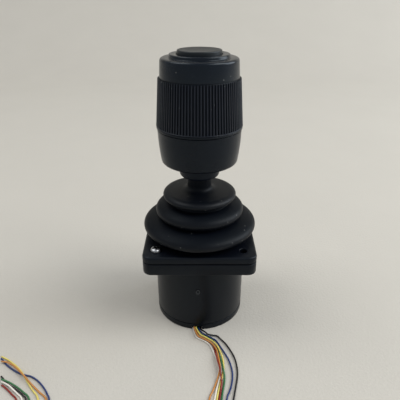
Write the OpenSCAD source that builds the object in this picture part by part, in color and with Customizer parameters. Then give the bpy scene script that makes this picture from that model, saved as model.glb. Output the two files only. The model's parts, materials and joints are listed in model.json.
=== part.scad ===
// Three-axis hall-effect finger joystick: twist knob with a push button, bellows boot,
// square two-plate flange, round body and seven flying leads.
// Millimetres, +Z up, origin at the middle of the body's underside, the leads leave towards -Y.

/* [Flange] */
// Side of the square flange
flange_w = 50; // [49:0.5:56]
// Corner radius of the flange, seen from above
flange_corner = 4; // [3:0.5:5]
// Thickness of the lower flange plate, which is part of the housing
flange_t = 5.4; // [4.8:0.1:7]
// Thickness of the bezel plate
bezel_t = 3.6; // [3:0.1:5]
// Bevel along the bezel's top edge
bezel_bevel = 0.9; // [0.3:0.1:1.2]
// Fine bevel along the other plate edges
edge_bevel = 0.3; // [0.1:0.05:0.5]
// Distance between neighbouring corner holes
hole_spacing = 38.4; // [38:0.1:41]
// Diameter of the open corner holes
hole_d = 3.4; // [2.8:0.1:3.6]

/* [Body] */
// Outer diameter of the body
body_d = 42.6; // [42.2:0.2:46]
// Wall of the body above the inner shoulder
body_wall = 3.3; // [2.6:0.1:3.6]
// Depth of the inner shoulder, which the gate plate butts against
shoulder_w = 1.3; // [1:0.1:1.8]
// Height of the flange's underside above the base
body_h = 34.7; // [34:0.1:40]
// Thickness of the end cap
cap_t = 3; // [2.6:0.1:4]
// Visible seam between the end cap and the body
cap_seam = 0.3; // [0.2:0.05:0.5]
// Diameter of the moulding dimple on the front
dimple_d = 2.6; // [1:0.2:4]
// Depth of the moulding dimple
dimple_depth = 0.8; // [0.3:0.1:1]
// Height of the dimple's middle above the base
dimple_z = 20.5; // [10:0.5:28]
// Width of the notch that the leads leave by
notch_w = 5.2; // [5:0.2:8]
// Height of that notch
notch_h = 1.8; // [1.7:0.1:2.4]
// How far the notch is off the middle
notch_x = -1.2; // [-1.6:0.1:-0.9]

/* [Boot] */
// Thickness of the rubber
boot_t = 1; // [0.8:0.05:1.2]
// Largest radius of the top fold
fold1_r = 16.6; // [15.6:0.1:17.4]
// Largest radius of the middle fold
fold2_r = 20.2; // [19.4:0.1:21]
// Largest radius of the bottom fold
fold3_r = 26.1; // [25:0.1:26.2]
// Height of the bottom fold's rim above the bezel
fold3_z = 4.6; // [4:0.1:5.2]
// Height from one fold's rim to the next
fold_pitch = 7.3; // [7:0.1:7.6]
// Outer radius of the neck that grips the shaft
boot_neck_r = 5.4; // [4.8:0.1:5.8]

/* [Stick] */
// Height of the tilt axes above the flange's underside
pivot_rise = 0.3; // [-0.4:0.1:0.6]
// Tilt to each side, in degrees, which the gate leaves room for
tilt = 20; // [10:1:20]
// Outer diameter of the hollow shaft
shaft_d = 7; // [6:0.2:7.4]
// Bore of the hollow shaft, for the wires of the button and the twist sensor
shaft_bore = 4; // [2:0.2:4.4]
// Diameter of the gimbal's axles
axle_d = 3; // [2:0.1:3.2]
// Outer diameter of the pivot block
block_d = 12.4; // [11.6:0.2:13]
// Outer diameter of the gimbal ring
ring_d = 26.8; // [26:0.2:27.6]
// Wall of the gimbal ring
ring_wall = 3.8; // [3:0.1:4.2]
// Height of the gimbal ring
ring_h = 7; // [5.5:0.5:8]
// Length of the shaft below the tilt axes
tail = 11; // [10:0.5:11]
// Diameter of the collar under the knob
collar_d = 17.8; // [16:0.2:20]
// Height of the collar
collar_h = 6.5; // [5:0.1:8]

/* [Knob] */
// Height of the collar's underside above the tilt axes
collar_rise = 37; // [36.6:0.1:42]
// Radius of the knob at its lower edge
knob_foot_r = 16.7; // [16:0.1:18]
// Largest radius of the knob, at the sleeve's lower edge
knob_wide_r = 18.4; // [17.8:0.1:20]
// Radius over the ribs at the sleeve's upper edge
knob_top_r = 17.05; // [16.7:0.05:18]
// Height of the smooth lower shell
shell_h = 16.3; // [14:0.1:20]
// Height of the ribbed sleeve
sleeve_h = 19.7; // [17:0.1:24]
// Height of the smooth cap up to its flat
cap_h = 7.7; // [7:0.1:10]
// Number of ribs round the sleeve
rib_count = 90; // [60:1:96]
// Depth of the ribs
rib_depth = 0.5; // [0.2:0.05:0.6]
// Bore inside the knob
knob_bore_d = 28.4; // [27:0.2:28.6]
// Thickness of the knob's floor
floor_t = 2.6; // [2:0.1:3.5]
// Outer radius of the raised ring round the button
bezel_ring_r = 12.2; // [11.5:0.1:13]
// Height of the raised ring above the cap's flat
bezel_ring_h = 1.3; // [0.6:0.1:1.8]
// Diameter of the button
button_d = 18; // [14:0.2:19]
// Travel of the button
button_travel = 1.2; // [0.5:0.1:1.4]
// Height of the pressed button above the raised ring
button_proud = 0.3; // [0:0.1:0.8]

/* [Fits] */
// Radial clearance of the running fits on the axles and the twist bearing
running = 0.05; // [0.02:0.01:0.08]
// Radial gap between pieces that are seated in each other
seat = 0.05; // [0.02:0.01:0.1]
// Gap between pieces that move past each other
gap = 0.3; // [0.2:0.05:0.4]

/* [Leads] */
// Diameter of each lead over its insulation
lead_d = 0.7; // [0.5:0.05:0.75]

/* [Hidden] */
$fn = 96;

// Colours
black_satin = "#1f2124";
black_matt = "#26282b";
black_rubber = "#1b1d1f";
steel = "#b9bcc0";
spring_steel = "#8d9094";
bronze = "#a9793f";
nylon = "#e4e1d6";
board_green = "#1f6a3a";
magnet_grey = "#5a5c60";

// Body and flange
body_r = body_d / 2;
upper_bore_r = body_r - body_wall;
lower_bore_r = upper_bore_r + shoulder_w;
insert_r = lower_bore_r - 0.1;
flange_top = body_h + flange_t;
bezel_top = flange_top + bezel_t;
hole_at = hole_spacing / 2;
body_foot = cap_t + cap_seam;
pivot_z = body_h + pivot_rise;

// Clamp screws, M2.5 with a cross recess
screw_r = 1.25;
screw_head_r = 2.25;
screw_head_h = 1.7;
screw_dome_r = 3.2;
screw_slack = 0.2;
screw_reach = bezel_t + flange_t - 1.3;
recess_l = 2.5;
recess_w = 0.55;
recess_deep = 0.9;
screw_corners = [[-1, -1], [1, 1]];
mount_corners = [[1, -1], [-1, 1]];

// Stack inside the body, from the shoulder down
shoulder_z = pivot_z - tail;
gate_t = 2;
gate_z = shoulder_z - gate_t;
board_t = 1.6;
board_room = 8;
board_z = gate_z - board_room;
chip_h = 1.3;
spacer_wall = 1.6;
spacer_z = board_z + board_t;
cap_spigot_wall = 1.8;
grommet_y = 1.7 - body_r;
grommet_l = 3.4;

// Gimbal
axle_r = axle_d / 2;
block_r = block_d / 2;
block_half_h = 5;
ring_r = ring_d / 2;
ring_inner_r = ring_r - ring_wall;
bushing_wall = 1;
bushing_r = axle_r + running + bushing_wall;
boss_r = bushing_r + 1.5;
boss_x = body_r - 4.5;
bushing_end = body_r - 1.1;
axle_end = bushing_end - 0.2;
axle_depth = 2.6;
tilt_spring_r = axle_r + 1.1;
tilt_spring_wire = 0.5;

// Stick
shaft_r = shaft_d / 2;
shaft_foot = pivot_z - tail;
holder_wall = 1.3;
holder_r = shaft_r + seat + holder_wall;
holder_overlap = 4;
magnet_h = 3.4;
magnet_r = 3;
holder_floor = 0.4;
holder_z = shaft_foot - holder_floor - magnet_h;
gate_reach = (pivot_z - holder_z) * sin(tilt) + holder_r * cos(tilt);
gate_half = gate_reach + 0.9;
gate_corner = 2;

// Collar and twist bearing
collar_z = pivot_z + collar_rise;
collar_r = collar_d / 2;
collar_top = collar_z + collar_h;
collar_round = 1.8;
spigot_r = 5.4;
spigot_h = 9.5;
spigot_top = collar_top + spigot_h;
washer_t = 0.26;
knob_z = collar_top + gap;
floor_top = knob_z + floor_t;
clip_t = 0.8;
clip_r = 7.4;
clip_z = floor_top + 0.4;
clip_groove = 0.5;
set_screw_r = 1.5;
set_screw_l = 4;
twist_spring_r = 6.6;
twist_spring_wire = 0.8;
twist_spring_z = clip_z + clip_t + 0.6;
twist_spring_h = spigot_top - twist_spring_z;
post_r = 1.1;
post_at = 10.5;
shaft_top = spigot_top + 4;
twist_board_r = 8.5;
twist_board_t = 1.2;

// Knob
knob_bore_r = knob_bore_d / 2;
shell_top = knob_z + shell_h;
sleeve_top = shell_top + sleeve_h;
cap_top = sleeve_top + cap_h;
foot_round = 1.5;
shoulder_round = 1.6;
lip_h = 2.1;
lip_in = 0.25;
tube_r = 15.4;
sleeve_seam = 0.1;
cap_foot_r = knob_top_r - 0.72;
cap_head_r = cap_foot_r - 0.43;
cap_wall_t = 2.6;
cap_spigot_h = 3;
magnet_ring_r = 11.6;
magnet_ring_h = 3;
magnet_ring_z = shaft_top - 1;
ledge_t = 1.4;
button_r = button_d / 2;
button_top = cap_top + bezel_ring_h + button_proud + button_travel;
button_flange_r = button_r + 1.3;
button_flange_t = 1.3;
button_flange_z = cap_top - cap_wall_t - gap - button_flange_t;
button_round = 0.7;
button_hole_r = button_r + gap;
stem_r = 3;
stem_h = 2.4;
switch_side = 12;
switch_h = 7.2;
plunger_r = 1.7;
plunger_h = 3;
stem_z = button_flange_z - stem_h;
switch_top = stem_z - button_travel - 0.2;
switch_z = switch_top - switch_h;
plate_t = 1.4;
button_spring_r = 5;
button_spring_wire = 0.6;

// ---------------------------------------------------------------- curves and tubes

function last(list) = list[len(list) - 1];
function unit(v) = v / norm(v);
function reversed(list) = [for (i = [len(list) - 1:-1:0]) list[i]];

// Points of an elliptic arc about c, with half axes a and b, from angle a0 to a1
function arc(c, a, b, a0, a1, n) =
    [for (i = [0:n]) let (t = a0 + (a1 - a0) * i / n) [c[0] + a * cos(t), c[1] + b * sin(t)]];

// Points inside a cubic curve from p0 to p3
function bezier(p0, p1, p2, p3, n) =
    [for (i = [1:n - 1]) let (t = i / n, s = 1 - t)
        s * s * s * p0 + 3 * s * s * t * p1 + 3 * s * t * t * p2 + t * t * t * p3];

// A band of thickness t along a flat line of points
function side_step(line, i) =
    let (d = unit(line[min(i + 1, len(line) - 1)] - line[max(i - 1, 0)])) [d[1], -d[0]];
function band(line, t) = concat(
    [for (i = [0:len(line) - 1]) line[i] + side_step(line, i) * t / 2],
    reversed([for (i = [0:len(line) - 1]) line[i] - side_step(line, i) * t / 2]));

// A smooth curve through the points of a route, with n steps between neighbours
function spline_at(p, i, t) =
    let (a = p[max(i - 1, 0)], b = p[i], c = p[i + 1], d = p[min(i + 2, len(p) - 1)])
    0.5 * (2 * b + (c - a) * t + (2 * a - 5 * b + 4 * c - d) * t * t
        + (3 * b - 3 * c + d - a) * t * t * t);
function smooth(p, n) = concat(
    [for (i = [0:len(p) - 2]) for (k = [0:n - 1]) spline_at(p, i, k / n)], [last(p)]);

function tangent(path, i) =
    unit(path[min(i + 1, len(path) - 1)] - path[max(i - 1, 0)]);

// Sideways direction of each ring, carried along the path so that the tube doesn't twist
function carry(path, i, u) =
    let (t = tangent(path, i), v = unit(u - (u * t) * t))
    i == len(path) - 1 ? [v] : concat([v], carry(path, i + 1, v));

// A plain tube of the given radius swept along a path, closed at both ends
module tube(path, radius, sides, start = [0, 0, 1]) {
    across = carry(path, 0, start);
    rings = [for (i = [0:len(path) - 1])
        let (u = across[i], w = cross(tangent(path, i), u))
        for (k = [0:sides - 1])
            let (a = 360 * (k + 0.5) / sides)
            path[i] + radius / cos(180 / sides) * (cos(a) * u + sin(a) * w)];
    n = len(path);
    walls = [for (i = [0:n - 2]) for (k = [0:sides - 1])
        let (j = (k + 1) % sides)
        [i * sides + k, (i + 1) * sides + k, (i + 1) * sides + j, i * sides + j]];
    ends = [[for (k = [0:sides - 1]) k], [for (k = [sides - 1:-1:0]) (n - 1) * sides + k]];
    polyhedron(rings, concat(walls, ends), convexity = 6);
}

// A torsion or compression spring about Z, from z = 0 up to height, with a leg at each end
function coil(r, height, turns, from = 0, steps = 14) =
    [for (i = [0:turns * steps])
        let (a = from + 360 * i / steps)
        [r * cos(a), r * sin(a), height * i / (turns * steps)]];

// ---------------------------------------------------------------- plates

module rounded_square(w, r) {
    square([w, w - 2 * r], center = true);
    square([w - 2 * r, w], center = true);
    for (x = [-1, 1], y = [-1, 1])
        translate([x, y] * (w / 2 - r))
            circle(r);
}

// One bevelled edge of a rounded square plate: from side w at z = 0 to w - 2 * c at z = c
module bevel_layer(w, r, c) {
    prism = [[-w / 2, 0], [w / 2, 0], [w / 2 - c, c], [-w / 2 + c, c]];
    for (turn = [0, 90])
        rotate([0, 0, turn])
            rotate([90, 0, 0])
                linear_extrude(w - 2 * r, center = true)
                    polygon(prism);
    for (x = [-1, 1], y = [-1, 1])
        translate([x * (w / 2 - r), y * (w / 2 - r), 0])
            cylinder(r1 = r, r2 = r - c, h = c);
}

module bevelled_plate(w, r, t, bottom, top) {
    translate([0, 0, bottom])
        linear_extrude(t - bottom - top)
            rounded_square(w, r);
    translate([0, 0, t - top])
        bevel_layer(w, r, top);
    translate([0, 0, bottom])
        mirror([0, 0, 1])
            bevel_layer(w, r, bottom);
}

module at_corners(corners, z) {
    for (c = corners)
        translate([c[0] * hole_at, c[1] * hole_at, z])
            children();
}

// ---------------------------------------------------------------- housing

boot_foot_r = upper_bore_r + 3.8;
boot_foot_t = 1.2;
boot_wall_r = upper_bore_r + 2.4;

module axle_bosses() {
    intersection() {
        cylinder(r = body_r - 0.2, h = flange_top);
        for (x = [-1, 1])
            translate([x * boss_x, 0, pivot_z])
                rotate([0, x * 90, 0])
                    cylinder(r = boss_r, h = body_r - boss_x);
    }
}

module housing() {
    color(black_satin)
        difference() {
            union() {
                difference() {
                    union() {
                        translate([0, 0, body_foot])
                            cylinder(r = body_r, h = flange_top - edge_bevel - body_foot);
                        translate([0, 0, body_h])
                            bevelled_plate(flange_w, flange_corner, flange_t, edge_bevel, edge_bevel);
                    }
                    cylinder(r = lower_bore_r, h = shoulder_z);
                    cylinder(r = upper_bore_r, h = flange_top + 1);
                }
                axle_bosses();
            }
            translate([0, 0, flange_top - boot_foot_t])
                cylinder(r = boot_foot_r + seat, h = boot_foot_t + 1);
            for (x = [-1, 1])
                translate([x * (boss_x - 1), 0, pivot_z])
                    rotate([0, x * 90, 0])
                        cylinder(r = bushing_r + seat, h = bushing_end - boss_x + 1);
            at_corners(mount_corners, body_h - 1)
                cylinder(d = hole_d, h = flange_t + 2);
            at_corners(screw_corners, bezel_top - screw_reach - 0.5)
                cylinder(r = screw_r + seat, h = screw_reach + 1);
            translate([0, -body_r + dimple_depth, dimple_z])
                rotate([90, 0, 0]) {
                    cylinder(d1 = 0.55 * dimple_d, d2 = dimple_d, h = dimple_depth);
                    translate([0, 0, dimple_depth - 0.01])
                        cylinder(d = dimple_d, h = 1);
                }
        }
}

module bezel_plate() {
    color(black_matt)
        translate([0, 0, flange_top])
            difference() {
                bevelled_plate(flange_w, flange_corner, bezel_t, edge_bevel, bezel_bevel);
                translate([0, 0, -1])
                    cylinder(r = boot_wall_r + seat, h = bezel_t + 2);
                at_corners(mount_corners, -1)
                    cylinder(d = hole_d, h = bezel_t + 2);
                at_corners(screw_corners, -1)
                    cylinder(r = screw_r + screw_slack, h = bezel_t + 2);
            }
}

module clamp_screws() {
    color(steel)
        at_corners(screw_corners, bezel_top)
            difference() {
                union() {
                    intersection() {
                        cylinder(r = screw_head_r, h = screw_head_h);
                        translate([0, 0, screw_head_h - screw_dome_r])
                            sphere(r = screw_dome_r);
                    }
                    translate([0, 0, -screw_reach])
                        cylinder(r = screw_r, h = screw_reach + 0.5);
                }
                for (turn = [0, 90])
                    rotate([0, 0, turn])
                        translate([0, 0, screw_head_h])
                            cube([recess_l, recess_w, 2 * recess_deep], center = true);
            }
}

// ---------------------------------------------------------------- boot

// Each fold is an elliptic dome that tucks under at its rim and turns up into the groove above
// the next one. The line below runs along the middle of the rubber, from the neck to the foot.
fold3_rim_z = bezel_top + fold3_z;
fold2_rim_z = fold3_rim_z + fold_pitch;
fold1_rim_z = fold2_rim_z + fold_pitch;
half_t = boot_t / 2;
tuck_r = 0.85;
low_tuck_r = 1.3;
rim_tuck_r = 1.4;
dome1 = [3.2 - half_t, 1.95 - half_t];
dome2 = [8 - half_t, 4.1 - half_t];
dome3 = [9.4 - half_t, 4.3 - half_t];
dome1_c = [fold1_r - half_t - dome1[0], fold1_rim_z];
dome2_c = [fold2_r - half_t - dome2[0], fold2_rim_z];
dome3_c = [fold3_r - half_t - dome3[0], fold3_rim_z];

function dome(c, half_axes, from) = arc(c, half_axes[0], half_axes[1], from, 0, 10);
function tuck(rim, r, to) = arc([rim - r, 0], r, r, -30, to, 4);
function raised(points, z) = [for (p = points) [p[0], p[1] + z]];

boot_shoulder_z = dome1_c[1] + dome1[1];
boot_neck_l = 7;
tuck1 = raised(tuck(fold1_r - half_t, tuck_r, -120), fold1_rim_z);
tuck2 = raised(tuck(fold2_r - half_t, low_tuck_r, -120), fold2_rim_z);
tuck3 = raised(tuck(fold3_r - half_t, rim_tuck_r, -95), fold3_rim_z);
dome1_line = dome(dome1_c, dome1, 88);
dome2_line = dome(dome2_c, dome2, 76);
dome3_line = dome(dome3_c, dome3, 82);

function groove(from, to) = bezier(from, from + [-1.5, 0.7], to + [-1.5, 0.25], to, 7);

boot_knee = [boot_wall_r - half_t, bezel_top + 0.4];
boot_neck = [boot_neck_r - half_t, boot_shoulder_z];
boot_line = concat(
    [boot_neck + [0, boot_neck_l], boot_neck + [0, 3.2]],
    bezier(boot_neck + [0, 3.2], boot_neck + [0, 1.4], boot_neck + [1.4, 0.4],
        boot_neck + [4, 0.25], 7),
    [boot_neck + [4, 0.25]], dome1_line, tuck1, groove(last(tuck1), dome2_line[0]),
    dome2_line, tuck2, groove(last(tuck2), dome3_line[0]),
    dome3_line, tuck3,
    bezier(last(tuck3), last(tuck3) + [-1.6, 0], boot_knee + [0, 1.2], boot_knee, 5),
    [boot_knee, [boot_knee[0], flange_top - boot_foot_t]]);

module boot() {
    color(black_rubber)
        rotate_extrude() {
            polygon(band(boot_line, boot_t));
            translate([upper_bore_r + seat, flange_top - boot_foot_t])
                square([boot_foot_r - upper_bore_r - seat, boot_foot_t]);
        }
}

// ---------------------------------------------------------------- inside the body

module ring(r_out, r_in, h, z) {
    translate([0, 0, z])
        difference() {
            cylinder(r = r_out, h = h);
            translate([0, 0, -1])
                cylinder(r = r_in, h = h + 2);
        }
}

module end_cap() {
    color(black_satin)
        difference() {
            union() {
                cylinder(r = body_r, h = cap_t);
                ring(insert_r, insert_r - cap_spigot_wall, board_z - cap_t, cap_t);
            }
            translate([notch_x - notch_w / 2, -body_r - 1, -1])
                cube([notch_w, body_r + 1 + grommet_y + grommet_l, notch_h + 1]);
        }
}

module lead_grommet() {
    color(black_rubber)
        translate([notch_x - notch_w / 2 + seat, grommet_y, seat])
            cube([notch_w - 2 * seat, grommet_l - seat, notch_h - 2 * seat]);
}

module gate_plate() {
    color(nylon)
        translate([0, 0, gate_z])
            difference() {
                cylinder(r = insert_r, h = gate_t);
                translate([0, 0, -1])
                    linear_extrude(gate_t + 2)
                        rounded_square(2 * gate_half, gate_corner);
            }
}

module spacer_tube() {
    color(nylon)
        ring(insert_r, insert_r - spacer_wall, gate_z - spacer_z, spacer_z);
}

module sensor_board() {
    color(board_green)
        translate([0, 0, board_z])
            cylinder(r = insert_r, h = board_t);
}

module hall_chips() {
    color(black_matt)
        for (turn = [0, 90])
            rotate([0, 0, turn])
                translate([3.2, -2, spacer_z])
                    cube([4.4, 4, chip_h]);
}

module axle_bushings() {
    color(bronze)
        for (x = [-1, 1])
            translate([x * (boss_x - 0.2), 0, pivot_z])
                rotate([0, x * 90, 0])
                    difference() {
                        cylinder(r = bushing_r, h = bushing_end - boss_x + 0.1);
                        translate([0, 0, -1])
                            cylinder(r = axle_r + running, h = bushing_end);
                    }
}

module tilt_spring(room) {
    legs = 3;
    line = coil(tilt_spring_r, room - 2 * tilt_spring_wire, 3, 90);
    path = concat([line[0] + [legs, 0, 0]], line, [last(line) + [-legs, 0, 0]]);
    translate([0, 0, tilt_spring_wire])
        tube(path, tilt_spring_wire / 2, 6);
}

module x_spring() {
    color(spring_steel)
        translate([ring_r, 0, pivot_z])
            rotate([0, 90, 0])
                tilt_spring(boss_x - 0.2 - ring_r);
}

// ---------------------------------------------------------------- gimbal

module gimbal_ring() {
    color(steel)
        difference() {
            ring(ring_r, ring_inner_r, ring_h, pivot_z - ring_h / 2);
            translate([0, 0, pivot_z])
                rotate([90, 0, 0])
                    cylinder(r = axle_r + running, h = ring_d + 2, center = true);
            translate([0, 0, pivot_z])
                rotate([0, 90, 0])
                    cylinder(r = axle_r + seat / 2, h = ring_d + 2, center = true);
        }
}

module outer_axles() {
    color(steel)
        for (x = [-1, 1])
            translate([x * (ring_inner_r + 0.2), 0, pivot_z])
                rotate([0, x * 90, 0])
                    cylinder(r = axle_r, h = axle_end - ring_inner_r - 0.2);
}

module y_spring() {
    color(spring_steel)
        translate([0, block_r, pivot_z])
            rotate([-90, 0, 0])
                tilt_spring(sqrt(pow(ring_inner_r, 2) - pow(tilt_spring_r + 0.4, 2)) - block_r);
}

// ---------------------------------------------------------------- stick

module shaft() {
    color(steel)
        ring(shaft_r, shaft_bore / 2, shaft_top - shaft_foot, shaft_foot);
}

module pivot_block() {
    color(magnet_grey)
        difference() {
            ring(block_r, shaft_r + seat, 2 * block_half_h, pivot_z - block_half_h);
            translate([0, 0, pivot_z])
                rotate([90, 0, 0])
                    cylinder(r = axle_r + seat / 2, h = block_d + 2, center = true);
        }
}

module inner_axles() {
    color(steel)
        for (y = [-1, 1])
            translate([0, y * (block_r - axle_depth + 0.1), pivot_z])
                rotate([-y * 90, 0, 0])
                    cylinder(r = axle_r, h = ring_r - 0.4 - block_r + axle_depth);
}

module magnet_holder() {
    color(nylon)
        translate([0, 0, holder_z])
            difference() {
                cylinder(r = holder_r, h = shaft_foot + holder_overlap - holder_z);
                translate([0, 0, -1])
                    cylinder(r = magnet_r + seat, h = magnet_h + 1);
                translate([0, 0, magnet_h + holder_floor])
                    cylinder(r = shaft_r + seat, h = holder_overlap + 1);
            }
}

module stick_magnet() {
    color(magnet_grey)
        translate([0, 0, holder_z])
            cylinder(r = magnet_r, h = magnet_h);
}

module collar() {
    color(black_satin)
        difference() {
            rotate_extrude()
                polygon(concat([[shaft_r + seat, collar_z]],
                    arc([collar_r - collar_round, collar_z + collar_round],
                        collar_round, collar_round, -90, 0, 6),
                    [[collar_r, collar_top], [spigot_r, collar_top], [spigot_r, clip_z],
                        [spigot_r - clip_groove, clip_z],
                        [spigot_r - clip_groove, clip_z + clip_t], [spigot_r, clip_z + clip_t],
                        [spigot_r, spigot_top], [shaft_r + seat, spigot_top]]));
            translate([0, shaft_r - 0.5, collar_z + collar_h / 2])
                rotate([-90, 0, 0])
                    cylinder(r = set_screw_r, h = collar_r);
        }
}

module set_screw() {
    color(steel)
        translate([0, shaft_r + 0.1, collar_z + collar_h / 2])
            rotate([-90, 0, 0])
                difference() {
                    cylinder(r = set_screw_r - seat, h = set_screw_l);
                    translate([0, 0, set_screw_l - 1.2])
                        cylinder(r = 0.85, h = 2, $fn = 6);
                }
}

module thrust_washer() {
    color(nylon)
        ring(collar_r - 0.6, spigot_r + running, washer_t, collar_top);
}

module retaining_ring() {
    color(spring_steel)
        difference() {
            ring(clip_r, spigot_r - clip_groove + seat, clip_t - 0.1, clip_z + 0.05);
            translate([-1.6, 0, clip_z - 1])
                cube([3.2, clip_r + 1, clip_t + 2]);
        }
}

module twist_board() {
    color(board_green)
        ring(twist_board_r, shaft_bore / 2, twist_board_t, shaft_top);
}

module twist_chip() {
    color(black_matt)
        translate([twist_board_r - 4.6, -2, shaft_top + twist_board_t])
            cube([4.2, 4, 1]);
}

// ---------------------------------------------------------------- knob

module knob_base() {
    corner = arc([knob_foot_r - foot_round, knob_z + foot_round], foot_round, foot_round, -90, -8, 6);
    lip_foot = shell_top - lip_h;
    belly = 0.22;
    side = [for (t = [0.2:0.2:0.8])
        last(corner) * (1 - t) + [knob_wide_r - 2 * lip_in, lip_foot - 0.4] * t
            + [4 * belly * t * (1 - t), 0]];
    profile = concat([[spigot_r + running, knob_z]], corner, side,
        [[knob_wide_r - 2 * lip_in, lip_foot - 0.4], [knob_wide_r - lip_in, lip_foot],
            [knob_wide_r - lip_in / 2, shell_top - 0.2], [knob_wide_r - lip_in, shell_top],
            [tube_r, shell_top], [tube_r, sleeve_top], [knob_bore_r, sleeve_top],
            [knob_bore_r, switch_z - plate_t], [knob_bore_r - 1, switch_z - plate_t],
            [knob_bore_r - 1, switch_z - plate_t - ledge_t],
            [knob_bore_r, switch_z - plate_t - ledge_t - 1],
            [knob_bore_r, magnet_ring_z], [magnet_ring_r, magnet_ring_z],
            [magnet_ring_r, magnet_ring_z - ledge_t], [knob_bore_r, magnet_ring_z - ledge_t - 1.5],
            [knob_bore_r, floor_top], [spigot_r + running, floor_top]]);
    color(black_matt) {
        rotate_extrude()
            polygon(profile);
        translate([post_at, 0, floor_top - 0.2])
            cylinder(r = post_r, h = twist_spring_z + 1.5 - floor_top);
    }
}

// One rib's outline, as [share of the pitch, share of the depth]
rib_outline = [[0, 0], [0.2, 0.04], [0.35, 0.8], [0.5, 1], [0.65, 0.8], [0.8, 0.04]];
function sleeve_ring(r, z, depth) =
    [for (i = [0:rib_count - 1]) for (p = rib_outline)
        let (a = 360 * (i + p[0]) / rib_count, q = r - depth + p[1] * depth)
        [q * cos(a), q * sin(a), z]];

module ribbed_cone() {
    z0 = shell_top + sleeve_seam;
    top_in = 0.5;
    rings = concat(sleeve_ring(knob_wide_r, z0, 0.02),
        sleeve_ring(knob_wide_r, z0 + 0.5, 0.02),
        sleeve_ring(knob_wide_r - 0.05, z0 + 0.9, rib_depth),
        sleeve_ring(knob_top_r, sleeve_top - top_in, rib_depth),
        sleeve_ring(knob_top_r - rib_depth, sleeve_top, 0.02));
    per = rib_count * len(rib_outline);
    n = 5;
    walls = [for (i = [0:n - 2]) for (k = [0:per - 1])
        let (j = (k + 1) % per)
        each [[i * per + k, (i + 1) * per + k, (i + 1) * per + j],
            [i * per + k, (i + 1) * per + j, i * per + j]]];
    ends = [[for (k = [0:per - 1]) k], [for (k = [per - 1:-1:0]) (n - 1) * per + k]];
    polyhedron(rings, concat(walls, ends), convexity = 10);
}

module grip_sleeve() {
    color(black_rubber)
        difference() {
            ribbed_cone();
            translate([0, 0, shell_top - 1])
                cylinder(r = tube_r + seat, h = sleeve_h + 2);
        }
}

module top_cap() {
    shoulder = arc([cap_head_r - shoulder_round, cap_top - shoulder_round],
        shoulder_round, shoulder_round, 4, 88, 6);
    rim = cap_top + bezel_ring_h;
    bead = 0.4;
    under = cap_top - cap_wall_t;
    profile = concat([[knob_bore_r - seat, sleeve_top], [cap_foot_r, sleeve_top]], shoulder,
        [[bezel_ring_r + 0.25, cap_top], [bezel_ring_r, cap_top + 0.25],
            [bezel_ring_r, rim - bead], [bezel_ring_r - bead, rim], [button_hole_r + bead, rim],
            [button_hole_r, rim - bead], [button_hole_r, under],
            [knob_bore_r - 1.2, under], [knob_bore_r - 1.2, sleeve_top - cap_spigot_h],
            [knob_bore_r - seat, sleeve_top - cap_spigot_h]]);
    color(black_matt)
        rotate_extrude()
            polygon(profile);
}

module twist_magnet() {
    color(magnet_grey)
        ring(knob_bore_r - seat, magnet_ring_r, magnet_ring_h, magnet_ring_z);
}

module twist_spring() {
    line = coil(twist_spring_r, twist_spring_h - 0.1, 3, 0);
    path = concat([[post_at, post_r + 0.6, 0], [twist_spring_r + 1.4, post_r + 0.2, 0]],
        [for (i = [2:len(line) - 1]) line[i]],
        [[4.8, -1, twist_spring_h + 0.7]]);
    color(spring_steel)
        translate([0, 0, twist_spring_z])
            tube(path, twist_spring_wire / 2, 6);
}

module switch_plate() {
    color(board_green)
        translate([0, 0, switch_z - plate_t])
            cylinder(r = knob_bore_r - seat, h = plate_t);
}

module push_switch() {
    color(magnet_grey)
        translate([0, 0, switch_z])
            difference() {
                translate([-switch_side / 2, -switch_side / 2, 0])
                    cube([switch_side, switch_side, switch_h]);
                translate([0, 0, 1])
                    cylinder(r = plunger_r + running, h = switch_h);
            }
}

// ---------------------------------------------------------------- button

module button_cap() {
    crown = arc([button_r - button_round, button_top - button_round],
        button_round, button_round, 0, 84, 5);
    profile = concat([[0, stem_z], [stem_r, stem_z], [stem_r, button_flange_z],
            [button_flange_r, button_flange_z],
            [button_flange_r, button_flange_z + button_flange_t],
            [button_r, button_flange_z + button_flange_t]],
        crown, [[button_r - 1.6, button_top - 0.02], [0, button_top - 0.3]]);
    color(black_matt)
        rotate_extrude()
            polygon(profile);
}

module switch_plunger() {
    color(nylon)
        translate([0, 0, stem_z - plunger_h])
            cylinder(r = plunger_r, h = plunger_h);
}

module button_spring() {
    end_gap = button_spring_wire / 2 + seat;
    color(spring_steel)
        translate([0, 0, switch_top + end_gap])
            tube(coil(button_spring_r, button_flange_z - switch_top - 2 * end_gap, 2),
                button_spring_wire / 2, 6);
}

// ---------------------------------------------------------------- leads

// The leads leave side by side through the notch and lie loosely on the surface that the
// joystick stands on. Each route's points are the middle of the lead.
black_route = [[0.5, -19.6, 0.45], [0.55, -21.6, 0.45], [2.42, -24.17, 1.31],
    [3.82, -25.75, 1.38], [6.11, -25.77, 0.65], [8.2, -26, 0.45], [9.7, -27.8, 0.45],
    [12.1, -31.1, 0.45], [14.4, -36, 0.45], [15.7, -40.2, 0.45], [16.2, -45.1, 0.45],
    [15.9, -49.4, 0.45], [15, -53.9, 0.45], [13.6, -60.2, 0.45], [11.2, -72, 0.45],
    [8.5, -82, 0.45], [5.2, -92.5, 0.45], [-3.3, -101, 0.45], [-15.2, -106.4, 0.45],
    [-29, -108.4, 0.45], [-42.8, -106.4, 0.45], [-54.4, -100.7, 0.45], [-62.2, -92.1, 0.45],
    [-64.9, -82, 0.45], [-65.2, -70, 0.45], [-68.89, -60.7, 0.45], [-70.89, -58.46, 0.46],
    [-73.56, -56.43, 0.45], [-76, -54.9, 0.45], [-78.93, -53.22, 0.45], [-81.61, -51.01, 0.45],
    [-83.9, -48.8, 0.45]];
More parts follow.
